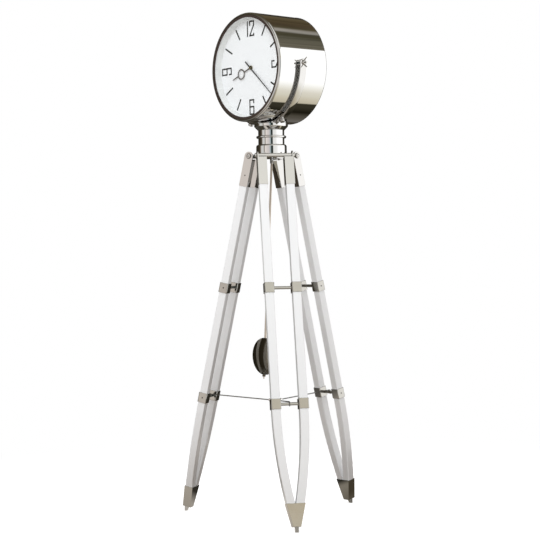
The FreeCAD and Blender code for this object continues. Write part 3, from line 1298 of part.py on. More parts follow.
def make_wing_nut(label, sign, facing):
    body = DOC.addObject("PartDesign::Body", label)
    revolve(body, label + "_hub", [
        ("stud_radius + running_clearance", "0"),
        ("wing_hub_radius", "0"),
        ("wing_hub_tip_radius", "wing_hub_length"),
        ("stud_radius + running_clearance", "wing_hub_length"),
    ])
    for name, side in (("upper", ""), ("lower", "-")):
        pad(body, f"{label}_wing_{name}", [[
            (f"{side}wing_root_radius", "wing_heel_height"),
            (f"{side}wing_hub_radius", "wing_heel_rise"),
            (f"{side}wing_reach", "wing_shoulder_out"),
            (f"{side}wing_peak_reach", "wing_tip_out"),
            (f"{side}wing_inner_reach", "wing_inner_out"),
            (f"{side}wing_root_radius", "wing_hub_length"),
        ]], "wing_thickness", role="XZ_Plane", both_ways=True)
    place = placed(f"{sign}({ARM_OUTER} + seat_clearance)", "-yoke_forward", DRUM_HEIGHT, facing)
    finish_part(body, label, place)


make_wing_nut("wing_nut_left", "-", TOWARDS_MINUS_X)
make_wing_nut("wing_nut_right", "", TOWARDS_X)

# Pendulum: a flat rod with an eye, a hollow lens-shaped bob and a rating nut on the threaded end.
PENDULUM_PLACE = placed("0", "0", SWING_HEIGHT, "rotation(vector(0; 1; 0); rest_swing)")
FLAT_END = "(bob_drop + flat_reach)"
BOB_BOTTOM = "(bob_drop + bob_radius)"
rod_eye = cylinder("pendulum_eye", "pendulum_eye_radius", "pendulum_rod_thickness",
                   at("0", "-pendulum_rod_thickness / 2", "0", TOWARDS_Y))
rod_flat = centred_box("pendulum_flat", "pendulum_rod_width", "pendulum_rod_thickness", FLAT_END,
                       z=f"-{FLAT_END} / 2")
rod_bore = cylinder("pendulum_bore", "swing_pin_radius + running_clearance", "4 * pendulum_rod_thickness",
                    at("0", "-2 * pendulum_rod_thickness", "0", TOWARDS_Y))
rod_thread = cylinder("pendulum_thread", "thread_radius", f"{BOB_BOTTOM} + thread_tail - {FLAT_END}",
                      at(z=f"-({BOB_BOTTOM} + thread_tail)"))
rod_solid = fuse("pendulum_rod_solid", rod_eye, rod_flat, rod_thread)
finish_part(cut("pendulum_rod", rod_solid, rod_bore), "pendulum_rod", PENDULUM_PLACE)


def make_lens(name, radius, crown, edge):
    # Two spherical caps back to back on a thin flat rim, about the origin, facing along Y.
    sphere_radius = f"(({radius} * {radius} + {crown} * {crown}) / (2 * {crown}))"
    caps = []
    for side, sign in (("front", "-"), ("back", "")):
        ball = DOC.addObject("Part::Sphere", f"{name}_{side}")
        ball.setExpression("Radius", bind(sphere_radius))
        reach = f"({sphere_radius} - {crown} - {edge} / 2)"
        opposite = "" if sign == "-" else "-"
        facing = "rotation(vector(1; 0; 0); 90)"
        ball.setExpression("Placement", bind(at("0", f"{opposite}{reach}", "0", facing)))
        caps.append(ball)
    rim = cylinder(name + "_rim", radius, f"2 * {crown} + {edge}",
                   at("0", f"-({crown} + {edge} / 2)", "0", TOWARDS_Y))
    return common(name, *caps, rim)


bob_outer = make_lens("bob_outer", "bob_radius", "bob_crown", "bob_edge")
bob_hollow = make_lens("bob_hollow", "(bob_radius - 2 * bob_skin)", "(bob_crown - bob_skin / 2)",
                       "(bob_edge - bob_skin)")
slot_width = "(pendulum_rod_width + 2 * bob_slot_clearance)"
slot_depth = "(pendulum_rod_thickness + 2 * bob_slot_clearance)"
bob_slot = box("bob_slot", slot_width, slot_depth, "flat_reach + bob_travel + bob_radius + cut_overrun",
               at(f"-{slot_width} / 2", f"-{slot_depth} / 2", "-(flat_reach + bob_travel)"))
bob_bore = cylinder("bob_bore", "thread_radius + running_clearance", "2 * bob_radius",
                    at(z="-2 * bob_radius"))
bob_solid = cut("bob_solid", bob_outer, fuse("bob_cuts", bob_hollow, bob_slot, bob_bore))
BOB_PLACE = placed(
    "-bob_drop * sin(rest_swing)", "0", f"{SWING_HEIGHT} - bob_drop * cos(rest_swing)",
    "rotation(vector(0; 1; 0); rest_swing)",
)
finish_part(group("pendulum_bob", [bob_solid]), "pendulum_bob", BOB_PLACE)

rating = DOC.addObject("PartDesign::Body", "rating_nut")
pad(rating, "rating_nut_disc", [polygon_points(12, "rating_nut_radius")], "rating_nut_height",
    offset=f"-({BOB_BOTTOM} + rating_nut_height + seat_clearance)",
    circles=[("0", "0", "thread_radius + running_clearance")])
finish_part(rating, "rating_nut", PENDULUM_PLACE)

# Check the document, then write one file for each sub-part.
DOC.recompute()
for thing in DOC.Objects:
    for state in ("Invalid", "Error"):
        if state in thing.State:
            raise RuntimeError("%s is %s" % (thing.Label, state))
for part in PARTS:
    if part.Shape.isNull() or not part.Shape.isValid() or not part.Shape.Solids:
        raise RuntimeError("%s has no valid solid" % part.Label)
os.makedirs("parts", exist_ok=True)
for part in PARTS:
    part.Shape.exportStep("parts/%s.step" % part.Label)
print("%d sub-parts written" % len(PARTS))
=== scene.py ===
import bmesh
import bpy
import math
from mathutils import Matrix, Vector


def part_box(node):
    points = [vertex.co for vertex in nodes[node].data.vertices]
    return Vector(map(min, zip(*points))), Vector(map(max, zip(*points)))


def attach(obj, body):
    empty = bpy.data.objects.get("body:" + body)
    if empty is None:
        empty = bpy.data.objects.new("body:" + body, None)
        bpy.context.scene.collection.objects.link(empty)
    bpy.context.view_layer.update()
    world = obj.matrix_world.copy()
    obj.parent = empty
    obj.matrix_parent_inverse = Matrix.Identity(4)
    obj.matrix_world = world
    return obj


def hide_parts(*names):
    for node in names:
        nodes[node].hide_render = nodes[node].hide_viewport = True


# The looks of a modern tripod floor clock: chromed case and fittings, white lacquered bars.

MM = 0.001
LEGS = ("left", "right", "rear")
SIDES = (("left", -1), ("right", 1))

# Noise mostly stays between these two values.
NOISE_LOW = 0.3
NOISE_HIGH = 0.7

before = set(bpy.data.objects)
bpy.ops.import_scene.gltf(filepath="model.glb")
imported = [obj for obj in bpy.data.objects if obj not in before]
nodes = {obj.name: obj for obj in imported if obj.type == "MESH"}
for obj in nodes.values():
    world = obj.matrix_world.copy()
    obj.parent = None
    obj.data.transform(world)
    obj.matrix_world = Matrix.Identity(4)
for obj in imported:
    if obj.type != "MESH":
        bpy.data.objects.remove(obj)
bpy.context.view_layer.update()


# The Y of the column's axis, in metres.
AXIS_Y = sum(c.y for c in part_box("post_column")) / 2


def node_tree(owner):
    owner.use_nodes = True
    tree = owner.node_tree
    tree.nodes.clear()
    return tree


def add(tree, kind, **values):
    node = tree.nodes.new(kind)
    for name, value in values.items():
        setattr(node, name, value)
    return node


def link(tree, start, end):
    tree.links.new(start, end)


def maths(tree, operation, first, second):
    node = add(tree, "ShaderNodeMath", operation=operation)
    for socket, value in zip(node.inputs, (first, second)):
        if isinstance(value, (int, float)):
            socket.default_value = value
        else:
            link(tree, value, socket)
    return node.outputs[0]


def ramp(tree, factor, stops):
    node = add(tree, "ShaderNodeValToRGB")
    elements = node.color_ramp.elements
    while len(elements) > 1:
        elements.remove(elements[-1])
    for number, (position, colour) in enumerate(stops):
        element = elements[0] if number == 0 else elements.new(position)
        element.position = position
        element.color = (*colour, 1)
    link(tree, factor, node.inputs[0])
    return node.outputs[0]


def mix_colour(tree, factor, first, second, blend="MIX"):
    node = add(tree, "ShaderNodeMix", data_type="RGBA", blend_type=blend)
    # The colours of this node are its sockets 6 and 7, and the mixed colour is output 2.
    sockets = (node.inputs[0], node.inputs[6], node.inputs[7])
    for socket, value in zip(sockets, (factor, first, second)):
        if isinstance(value, (int, float)):
            socket.default_value = value
        elif isinstance(value, tuple):
            socket.default_value = (*value, 1)
        else:
            link(tree, value, socket)
    return node.outputs[2]


def map_range(tree, value, from_low, from_high, to_low, to_high, smooth=False):
    node = add(tree, "ShaderNodeMapRange")
    node.interpolation_type = "SMOOTHSTEP" if smooth else "LINEAR"
    node.inputs["From Min"].default_value = from_low
    node.inputs["From Max"].default_value = from_high
    node.inputs["To Min"].default_value = to_low
    node.inputs["To Max"].default_value = to_high
    link(tree, value, node.inputs["Value"])
    return node.outputs["Result"]


def step_up(tree, value, low, high):
    # Nothing below the low value, all above the high one, smooth between.
    return map_range(tree, value, low, high, 0.0, 1.0, True)


def noise(tree, vector, scale, detail=3.0, roughness=0.5):
    node = add(tree, "ShaderNodeTexNoise")
    node.inputs["Scale"].default_value = scale
    node.inputs["Detail"].default_value = detail
    node.inputs["Roughness"].default_value = roughness
    link(tree, vector, node.inputs["Vector"])
    return node.outputs["Fac"]


COAT_ROUGHNESS = 0.05
BUMP_DEPTH = 1.0 * MM


def surface(name, colour, roughness, metallic=0.0, tone=0.02, tone_scale=8.0, rough_spread=0.03,
            rough_scale=30.0, bump=0.0, bump_scale=200.0, stretch=(1, 1, 1), coat=0.0):
    # A finish with slow changes of tone, small changes of gloss and a fine unevenness.
    material = bpy.data.materials.new(name)
    tree = node_tree(material)
    output = add(tree, "ShaderNodeOutputMaterial")
    shader = add(tree, "ShaderNodeBsdfPrincipled")
    link(tree, shader.outputs[0], output.inputs[0])
    place = add(tree, "ShaderNodeTexCoord").outputs["Object"]
    mapping = add(tree, "ShaderNodeMapping")
    mapping.inputs["Scale"].default_value = stretch
    link(tree, place, mapping.inputs["Vector"])
    place = mapping.outputs[0]
    darker = tuple(max(0.0, c * (1 - 2 * tone)) for c in colour)
    tone_map = ramp(tree, noise(tree, place, tone_scale), [(NOISE_LOW, darker), (NOISE_HIGH, colour)])
    link(tree, tone_map, shader.inputs["Base Color"])
    gloss = map_range(tree, noise(tree, place, rough_scale, detail=5.0, roughness=0.6),
                      NOISE_LOW, NOISE_HIGH,
                      max(0.0, roughness - rough_spread), roughness + rough_spread)
    link(tree, gloss, shader.inputs["Roughness"])
    shader.inputs["Metallic"].default_value = metallic
    if coat:
        shader.inputs["Coat Weight"].default_value = coat
        shader.inputs["Coat Roughness"].default_value = COAT_ROUGHNESS
    if bump:
        rise = add(tree, "ShaderNodeBump")
        rise.inputs["Strength"].default_value = bump
        rise.inputs["Distance"].default_value = BUMP_DEPTH
        link(tree, noise(tree, place, bump_scale, detail=4.0), rise.inputs["Height"])
        link(tree, rise.outputs[0], shader.inputs["Normal"])
    return material


GLASS_TINT = (0.997, 1, 1, 1)
# The share of light that glass mirrors seen square on, and what is added seen edge on.
GLASS_MIRROR = 0.025
GLASS_EDGE_MIRROR = 0.975
GLASS_EDGE_POWER = 5.0


def glass(name):
    # Clear glass that mirrors more where it is seen at a slant.
    material = bpy.data.materials.new(name)
    tree = node_tree(material)
    output = add(tree, "ShaderNodeOutputMaterial")
    clear = add(tree, "ShaderNodeBsdfTransparent")
    clear.inputs["Color"].default_value = GLASS_TINT
    shine = add(tree, "ShaderNodeBsdfGlossy")
    place = add(tree, "ShaderNodeTexCoord").outputs["Object"]
    gloss = map_range(tree, noise(tree, place, 25.0, detail=5.0), NOISE_LOW, NOISE_HIGH, 0.01, 0.04)
    link(tree, gloss, shine.inputs["Roughness"])
    slant = add(tree, "ShaderNodeLayerWeight").outputs["Facing"]
    share = add(tree, "ShaderNodeMath", operation="MULTIPLY_ADD")
    link(tree, maths(tree, "POWER", slant, GLASS_EDGE_POWER), share.inputs[0])
    share.inputs[1].default_value = GLASS_EDGE_MIRROR
    share.inputs[2].default_value = GLASS_MIRROR
    join = add(tree, "ShaderNodeMixShader")
    link(tree, share.outputs[0], join.inputs[0])
    link(tree, clear.outputs[0], join.inputs[1])
    link(tree, shine.outputs[0], join.inputs[2])
    link(tree, join.outputs[0], output.inputs[0])
    return material


FINISHES = {
    "chrome": surface("polished_chrome", (0.615, 0.612, 0.605), 0.03, 1.0, tone=0.01, rough_spread=0.012,
                      bump=0.004, bump_scale=14.0),
    "chrome_fittings": surface("chromed_fittings", (0.53, 0.52, 0.505), 0.06, 1.0, tone=0.015,
                               rough_spread=0.02, rough_scale=60.0, bump=0.004, bump_scale=60.0),
    "nickel_sleeves": surface("nickel_sleeves", (0.4, 0.388, 0.36), 0.08, 1.0, tone=0.03, tone_scale=20.0,
                              rough_spread=0.03, rough_scale=70.0, bump=0.006, bump_scale=70.0),
    "drawn_steel": surface("drawn_steel", (0.2, 0.195, 0.185), 0.18, 1.0, tone=0.05, tone_scale=30.0,
                           rough_spread=0.05, bump=0.03, bump_scale=400.0),
    "pale_bronze": surface("pale_bronze", (0.72, 0.63, 0.53), 0.35, 0.3, tone=0.06, tone_scale=30.0,
                           rough_spread=0.06, bump=0.03, bump_scale=300.0, stretch=(1, 1, 0.1)),
    "dark_screws": surface("dark_screws", (0.06, 0.055, 0.05), 0.35, 0.8, tone=0.1, tone_scale=60.0,
                           rough_spread=0.08, bump=0.1, bump_scale=500.0),
    "ring_paint": surface("ring_paint", (0.86, 0.87, 0.86), 0.45, tone=0.02, rough_spread=0.06, bump=0.03,
                          bump_scale=400.0),
    "bob_chrome": surface("smoked_chrome", (0.26, 0.245, 0.21), 0.04, 1.0, tone=0.02, rough_spread=0.015,
                          bump=0.004, bump_scale=20.0),
    "white_lacquer": surface("white_lacquer", (0.85, 0.855, 0.86), 0.2, tone=0.01, rough_spread=0.05,
                             bump=0.05, bump_scale=160.0, stretch=(1, 1, 0.15), coat=0.3),
    "dial_white": surface("dial_paint", (0.975, 0.985, 1.0), 0.5, tone=0.006, rough_spread=0.06, bump=0.02,
                          bump_scale=500.0),
    "dial_marks": surface("dial_marks", (0.018, 0.018, 0.015), 0.3, tone=0.05, tone_scale=20.0,
                          rough_spread=0.06, bump=0.05, bump_scale=300.0),
    "hand_black": surface("hand_paint", (0.035, 0.035, 0.035), 0.4, tone=0.1, rough_spread=0.08, bump=0.05,
                          bump_scale=400.0),
    "hand_bronze": surface("hand_bronze", (0.09, 0.066, 0.042), 0.35, 0.4, tone=0.1, rough_spread=0.08,
                           bump=0.05, bump_scale=400.0),
    # Grey satin used in place of chrome on the arms' inner faces: a painted reflection of the dim, shaded
    # gap behind them.
    "painted_gap_reflection": surface("painted_gap_reflection", (0.55, 0.55, 0.53), 0.4, 0.1, tone=0.03, rough_spread=0.06,
                            bump=0.05, bump_scale=120.0),
    "cover_paint": surface("cover_paint", (0.34, 0.34, 0.335), 0.45, tone=0.03, rough_spread=0.06, bump=0.1,
                           bump_scale=900.0),
    "brass_nut": surface("turned_brass", (0.5, 0.42, 0.2), 0.22, 1.0, tone=0.05, rough_spread=0.06,
                         bump=0.1, bump_scale=250.0),
    "gasket_brown": surface("gasket_rubber", (0.045, 0.028, 0.022), 0.6, tone=0.1, rough_spread=0.1,
                            bump=0.2, bump_scale=350.0),
    "clear_glass": glass("window_glass"),
    "black_plastic": surface("moulded_plastic", (0.03, 0.03, 0.033), 0.5, tone=0.08, rough_spread=0.08,
                             bump=0.3, bump_scale=900.0),
    "zinc_steel": surface("zinc_plate", (0.5, 0.5, 0.49), 0.28, 1.0, tone=0.06, tone_scale=30.0,
                          rough_spread=0.08, bump=0.1, bump_scale=300.0),
}


def slot_name(thing):
    return thing.data.materials[0].name.split(".")[0]


# Nodes whose finish differs from the one their slot gives.
OTHER_FINISH = {"pendulum_bob": "bob_chrome", "pendulum_rod": "pale_bronze", "rating_nut": "hand_bronze",
                "dial_ring": "ring_paint", "back_cover": "cover_paint"}
for leg in LEGS:
    for part in ("clamps", "foot_cap", "rungs"):
        OTHER_FINISH[f"leg_{leg}_{part}"] = "nickel_sleeves"
    OTHER_FINISH[f"leg_{leg}_screws"] = "dark_screws"
    OTHER_FINISH[f"tie_rod_{leg}"] = "drawn_steel"
for name, thing in nodes.items():
    slot = OTHER_FINISH.get(name, slot_name(thing))
    for number in range(len(thing.data.materials)):
        thing.data.materials[number] = FINISHES[slot]


# Edges of the sleeves, foot caps and toes: welded seams, then a small bevel.
SEAM_REACH = 0.02 * MM
BEVEL_ANGLE = math.radians(40)
SLEEVE_EDGE = 0.6 * MM
CAP_EDGE = 0.9 * MM


def soften(name, width):
    # Breaks the sharp edges of a node.
    thing = nodes[name]
    weld = thing.modifiers.new("weld", "WELD")
    weld.merge_threshold = SEAM_REACH
    bevel = thing.modifiers.new("bevel", "BEVEL")
    bevel.width = width
    bevel.segments = 2
    bevel.limit_method = "ANGLE"
    bevel.angle_limit = BEVEL_ANGLE
    bevel.harden_normals = True


for leg in LEGS:
    soften(f"leg_{leg}_clamps", SLEEVE_EDGE)
    soften(f"leg_{leg}_foot_cap", CAP_EDGE)
    soften(f"leg_{leg}_toe", SLEEVE_EDGE)


# Modelled pieces: doubled points are merged, and bends sharper than this angle stay crisp.
DOUBLE_REACH = 0.001 * MM
NO_LENGTH = 0.0001 * MM
CRISP_ANGLE = math.radians(34)


def piece(name, points, faces, finish, body, replaced=None):
    # A modelled piece that rides on a body, with crisp edges and smooth curves.
    mesh = bpy.data.meshes.new(name)
    mesh.from_pydata(points, [], faces)
    form = bmesh.new()
    form.from_mesh(mesh)
    bmesh.ops.remove_doubles(form, verts=form.verts, dist=DOUBLE_REACH)
    bmesh.ops.dissolve_degenerate(form, edges=form.edges, dist=NO_LENGTH)
    bmesh.ops.recalc_face_normals(form, faces=form.faces)
    form.to_mesh(mesh)
    form.free()
    mesh.shade_smooth()
    mesh.set_sharp_from_angle(angle=CRISP_ANGLE)
    thing = bpy.data.objects.new(name, mesh)
    bpy.context.scene.collection.objects.link(thing)
    mesh.materials.append(FINISHES[finish])
    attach(thing, body)
    if replaced:
        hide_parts(replaced)
    return thing


def turned(place, profile, steps=40):
    # Points and faces of a profile of radius and rise turned about the place's Z axis.
    points = []
    faces = []
    for radius, rise in profile:
        for n in range(steps):
            angle = 2 * math.pi * n / steps
            points.append(place @ Vector((radius * math.cos(angle), radius * math.sin(angle), rise)))
    for row in range(len(profile) - 1):
        for n in range(steps):
            here = row * steps + n
            beside = row * steps + (n + 1) % steps
            faces.append((here, beside, beside + steps, here + steps))
    return points, faces


def lofted(rings):
    # Points and faces of a skin over rings of equal count, closed at both ends.
    count = len(rings[0])
    points = [point for ring in rings for point in ring]
    faces = [tuple(range(count))[::-1], tuple(range((len(rings) - 1) * count, len(rings) * count))]
    for row in range(len(rings) - 1):
        for n in range(count):
            here = row * count + n
            beside = row * count + (n + 1) % count
            faces.append((here, beside, beside + count, here + count))
    return points, faces


def joined(*forms):
    # Several forms' points and faces as one form.
    points = []
    faces = []
    for some_points, some_faces in forms:
        first = len(points)
        points += some_points
        faces += [tuple(first + n for n in face) for face in some_faces]
    return points, faces


def round_corners(half_a, half_b, radius, segments=4):
    # Outline of a rectangle with rounded corners.
    outline = []
    for quarter, (sign_a, sign_b) in enumerate(((1, 1), (-1, 1), (-1, -1), (1, -1))):
        for n in range(segments + 1):
            angle = math.pi / 2 * (quarter + n / segments)
            outline.append((sign_a * (half_a - radius) + radius * math.cos(angle),
                            sign_b * (half_b - radius) + radius * math.sin(angle)))
    return outline


def facing_out(x, y, z, sign):
    # A place whose Z axis points along +X or -X.
    return Matrix.Translation((x, y, z)) @ Matrix.Rotation(sign * math.pi / 2, 4, "Y")


# Yoke arms: bent flat bars with eased edges, each ending in a round eye.
ARM_LOW, ARM_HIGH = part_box("yoke_arm_right")
ARM_WIDTH = ARM_HIGH.y - ARM_LOW.y
ARM_THICK = 5.0 * MM
ARM_START = math.radians(20.0)
ARM_STEPS = 48
ARM_ROUND = 1.3 * MM
EYE_LOW, EYE_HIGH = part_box("wing_nut_right")
TRUNNION_Y = (EYE_LOW.y + EYE_HIGH.y) / 2
TRUNNION_Z = (EYE_LOW.z + EYE_HIGH.z) / 2
ARM_RADIUS = ARM_HIGH.x - ARM_THICK / 2
EYE_RADIUS = 14.0 * MM
EYE_CORNER = 0.4 * MM
STUD_RADIUS = 4.05 * MM
# How squarely a face has to look at the case to be its arm's inner face.
INWARD_LEAST = 0.9
for side, sign in SIDES:
    section = round_corners(ARM_THICK / 2, ARM_WIDTH / 2, ARM_ROUND)
    rings = []
    for step in range(ARM_STEPS + 1):
        angle = ARM_START + (math.pi / 2 - ARM_START) * step / ARM_STEPS
        ring = []
        for out, across in section:
            reach = ARM_RADIUS + out
            ring.append(Vector((sign * reach * math.sin(angle), TRUNNION_Y + across,
                                TRUNNION_Z - reach * math.cos(angle))))
        rings.append(ring)
    half = ARM_THICK / 2
    eye = turned(facing_out(sign * ARM_RADIUS, TRUNNION_Y, TRUNNION_Z, sign), [
        (STUD_RADIUS, -half),
        (EYE_RADIUS - ARM_ROUND, -half),
        (EYE_RADIUS - EYE_CORNER, -half + EYE_CORNER),
        (EYE_RADIUS, -half + ARM_ROUND),
        (EYE_RADIUS, half - ARM_ROUND),
        (EYE_RADIUS - EYE_CORNER, half - EYE_CORNER),
        (EYE_RADIUS - ARM_ROUND, half),
        (STUD_RADIUS, half),
        (STUD_RADIUS, -half),
    ])
    arm = joined(lofted(rings), eye)
    bar = piece(f"bent_arm_{side}", *arm, "chrome_fittings", "yoke", f"yoke_arm_{side}")
    # The face towards the case gets grey satin paint in place of chrome: a painted reflection, standing in
    # for the dim image that the chrome face shows in the narrow, shaded gap.
    bar.data.materials.append(FINISHES["painted_gap_reflection"])
    for face in bar.data.polygons:
        inward = Vector((-face.center.x, 0, TRUNNION_Z - face.center.z)).normalized()
        if face.normal.dot(inward) > INWARD_LEAST:
            face.material_index = 1


# Wing nuts: a domed hub with two wings that sweep outwards and taper to rounded tips.
# A wing's rows in mm: reach from the axis, rise from the arm, half width, half thickness.
WING_PATH = ((4.0, 3.0, 3.0, 2.2), (7.5, 4.6, 2.9, 2.1), (10.5, 7.2, 2.7, 1.9), (13.2, 10.6, 2.5, 1.7),
             (15.4, 14.2, 2.2, 1.5), (17.0, 17.3, 1.6, 1.2), (17.9, 19.0, 0.9, 0.8))
# The hub's rows in mm: radius and rise from the arm.
HUB_PROFILE = ((4.05, 0), (8.5, 0), (8.5, 1.2), (8.1, 3.0), (7.6, 5.0), (7.0, 6.8), (6.4, 7.6),
               (5.4, 8.0), (4.05, 8.0), (4.05, 0))
WING_STEPS = 16
NUT_SEATS = {"left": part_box("wing_nut_left")[1].x, "right": EYE_LOW.x}
for side, sign in SIDES:
    nut_place = facing_out(NUT_SEATS[side], TRUNNION_Y, TRUNNION_Z, sign)
    hub = turned(nut_place, [(r * MM, h * MM) for r, h in HUB_PROFILE])
    wings = []
    for way in (1, -1):
        rings = []
        for number, (reach, out, half_wide, half_thick) in enumerate(WING_PATH):
            before = WING_PATH[max(0, number - 1)]
            after = WING_PATH[min(len(WING_PATH) - 1, number + 1)]
            along = Vector((after[0] - before[0], after[1] - before[1])).normalized()
            ring = []
            for n in range(WING_STEPS):
                angle = 2 * math.pi * n / WING_STEPS
                shift = half_wide * math.cos(angle)
                at_reach = reach - along.y * shift
                at_out = out + along.x * shift
                ring.append(nut_place @ Vector((way * at_reach * MM, half_thick * math.sin(angle) * MM,
                                                at_out * MM)))
            rings.append(ring)
        wings.append(lofted(rings))
    nut = f"wing_nut_{side}"
    piece(f"wing_screw_{side}", *joined(hub, *wings), "chrome_fittings", nut, nut)


# Cap nuts on the pivot rods: a flange and a round dome.
PIVOT_HEIGHT = 1304.3 * MM
PIVOT_RADIUS = 64.5 * MM
NUT_FACE = 65.9 * MM
PIVOT_TURNS = (-60, 60, 180)
# The flange's rows in mm: radius and rise from the shoe. The dome stands on the last row.
FLANGE_PROFILE = [(7.5, 0), (10.2, 0), (10.2, 0.9), (9.8, 1.3), (8.1, 1.4)]
DOME_FOOT, DOME_START = FLANGE_PROFILE[-1]
DOME_RISE = 7.0
nut_profile = list(FLANGE_PROFILE)
for degrees in range(9, 91, 9):
    angle = math.radians(degrees)
    nut_profile.append((DOME_FOOT * math.cos(angle), DOME_START + DOME_RISE * math.sin(angle)))
# Faces within this cylinder about a nut's axis are its flange.
FLANGE_LOW = -0.1 * MM
FLANGE_HIGH = 1.5 * MM
FLANGE_REACH = 11.0 * MM
domes = []
dome_places = []
for turn in PIVOT_TURNS:
    for sign in (-1, 1):
        dome_place = (
            Matrix.Translation((0, AXIS_Y, 0)) @ Matrix.Rotation(math.radians(turn), 4, "Z")
            @ Matrix.Translation((sign * NUT_FACE, -PIVOT_RADIUS, PIVOT_HEIGHT))
            @ Matrix.Rotation(sign * math.pi / 2, 4, "Y")
        )
        dome_places.append(dome_place.inverted())
        domes.append(turned(dome_place, [(r * MM, h * MM) for r, h in nut_profile], steps=32))
nuts = piece("cap_nuts", *joined(*domes), "chrome_fittings", "stand_head", "pivot_nuts")
# The flanges are darker than the polished domes.
nuts.data.materials.append(FINISHES["drawn_steel"])
for face in nuts.data.polygons:
    for place in dome_places:
        spot = place @ face.center
        if FLANGE_LOW < spot.z < FLANGE_HIGH and spot.xy.length < FLANGE_REACH:
            face.material_index = 1


# A fine rolled edge at the back of the case.
CASE_LOW, CASE_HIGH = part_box("case_shell")
case_radius = (CASE_HIGH.x - CASE_LOW.x) / 2
edge_place = Matrix.Translation((0, CASE_HIGH.y, TRUNNION_Z)) @ Matrix.Rotation(-math.pi / 2, 4, "X")
# The roll's middle lies this far in from the case's side and from its back.
EDGE_INSET = 0.7 * MM
EDGE_REACH = 1.3 * MM
EDGE_RISE = 0.9 * MM
edge_profile = [(case_radius - 1.5 * MM, 0.2 * MM)]
for degrees in range(0, 151, 15):
    angle = math.radians(degrees)
    edge_profile.append((case_radius - EDGE_INSET + EDGE_REACH * math.sin(angle),
                         EDGE_RISE * math.cos(angle) - EDGE_INSET))
edge_profile.append((case_radius - 0.4 * MM, -2.2 * MM))
piece("case_edge", *turned(edge_place, edge_profile, steps=128), "drawn_steel", "clock_head")

# Camera, from the photograph's own perspective.
TURN = math.radians(49.87)
YAW = math.radians(0.14)
PITCH = math.radians(-0.46)
ROLL = math.radians(-1.01)
DISTANCE = 5.3737
HEIGHT = 0.9344
FOCAL_PIXELS = 1477.2
FRAME_PIXELS = 540
SENSOR_WIDTH = 36.0
eye = Vector((math.sin(TURN) * DISTANCE, -math.cos(TURN) * DISTANCE + AXIS_Y, HEIGHT))
heading = TURN + YAW
forward = Vector((
    -math.sin(heading) * math.cos(PITCH),
    math.cos(heading) * math.cos(PITCH),
    math.sin(PITCH),
))
level = Vector((math.cos(heading), math.sin(heading), 0))
up = level.cross(forward)
right = level * math.cos(ROLL) + up * math.sin(ROLL)
up = up * math.cos(ROLL) - level * math.sin(ROLL)
camera_data = bpy.data.cameras.new("camera")
camera = bpy.data.objects.new("camera", camera_data)
bpy.context.scene.collection.objects.link(camera)
camera_data.sensor_width = SENSOR_WIDTH
camera_data.lens = FOCAL_PIXELS / FRAME_PIXELS * SENSOR_WIDTH
camera_data.clip_start = 0.1
camera_data.clip_end = 60.0
camera.matrix_world = Matrix((
    (right.x, up.x, -forward.x, eye.x),
    (right.y, up.y, -forward.y, eye.y),
    (right.z, up.z, -forward.z, eye.z),
    (0, 0, 0, 1),
))
bpy.context.scene.camera = camera

# World: white to the camera, a plain studio to shining surfaces, and soft light to the rest.
# Heights are those of the direction looked in: -1 straight down, 0 level, 1 straight up.
# Each pair is where one thing starts to give way to the next and where it has done so.
WALL_FROM = (-0.42, -0.3)
CEILING_FROM = (0.49, 0.505)
SOFT_RISE = (-0.3, 0.35)
# The same by shares of a full turn.
PATCH_FROM = (0.66, 0.67)
PATCH_TO = (0.72, 0.76)
# How fast the ceiling's streaks change round the room and upwards.
STREAKS_ROUND = 2.5
STREAKS_UP = 9.0
world = bpy.data.worlds.new("studio")
bpy.context.scene.world = world
tree = node_tree(world)
output = add(tree, "ShaderNodeOutputWorld")
direction = add(tree, "ShaderNodeSeparateXYZ")
link(tree, add(tree, "ShaderNodeTexCoord").outputs["Generated"], direction.inputs[0])
east, north, height = direction.outputs


def share_of_turn(tree, east, north):
    # The turn from the front towards the right, as a share that is a half at the front.
    angle = maths(tree, "ARCTAN2", east, maths(tree, "MULTIPLY", north, -1.0))
    share = maths(tree, "MULTIPLY_ADD", angle, 0.5 / math.pi)
    share.node.inputs[2].default_value = 0.5
    return share


turn_share = share_of_turn(tree, east, north)


def compass(stops):
    # Stops by degrees from the front towards the right, as shares of a full turn.
    return [((degrees + 180) / 360, colour) for degrees, colour in stops]


WALLS = compass([
    (-180, (0.05, 0.045, 0.035)),
    (-150, (0.05, 0.045, 0.035)),
    (-135, (0.06, 0.052, 0.038)),
    (-120, (0.045, 0.038, 0.026)),
    (-80, (0.04, 0.034, 0.022)),
    (-62, (0.055, 0.045, 0.03)),
    (-48, (0.075, 0.062, 0.043)),
    (-39, (0.34, 0.28, 0.22)),
    (-32, (0.95, 0.94, 0.92)),
    (-13, (0.95, 0.95, 0.93)),
    (-8, (0.42, 0.38, 0.34)),
    (-3, (0.45, 0.41, 0.37)),
    (1, (1.25, 1.17, 1.1)),
    (13, (1.06, 0.98, 0.94)),
    (33, (0.92, 0.87, 0.86)),
    (38, (0.72, 0.76, 0.79)),
    (45, (0.42, 0.52, 0.54)),
    (49, (0.03, 0.045, 0.037)),
    (61, (0.03, 0.042, 0.035)),
    (65, (1.25, 1.25, 1.22)),
    (86, (1.3, 1.3, 1.28)),
    (108, (1.75, 1.75, 1.75)),
    (158, (1.75, 1.75, 1.75)),
    (167, (1.3, 1.3, 1.3)),
    (172, (0.17, 0.165, 0.14)),
    (179.9, (0.05, 0.045, 0.035)),
])
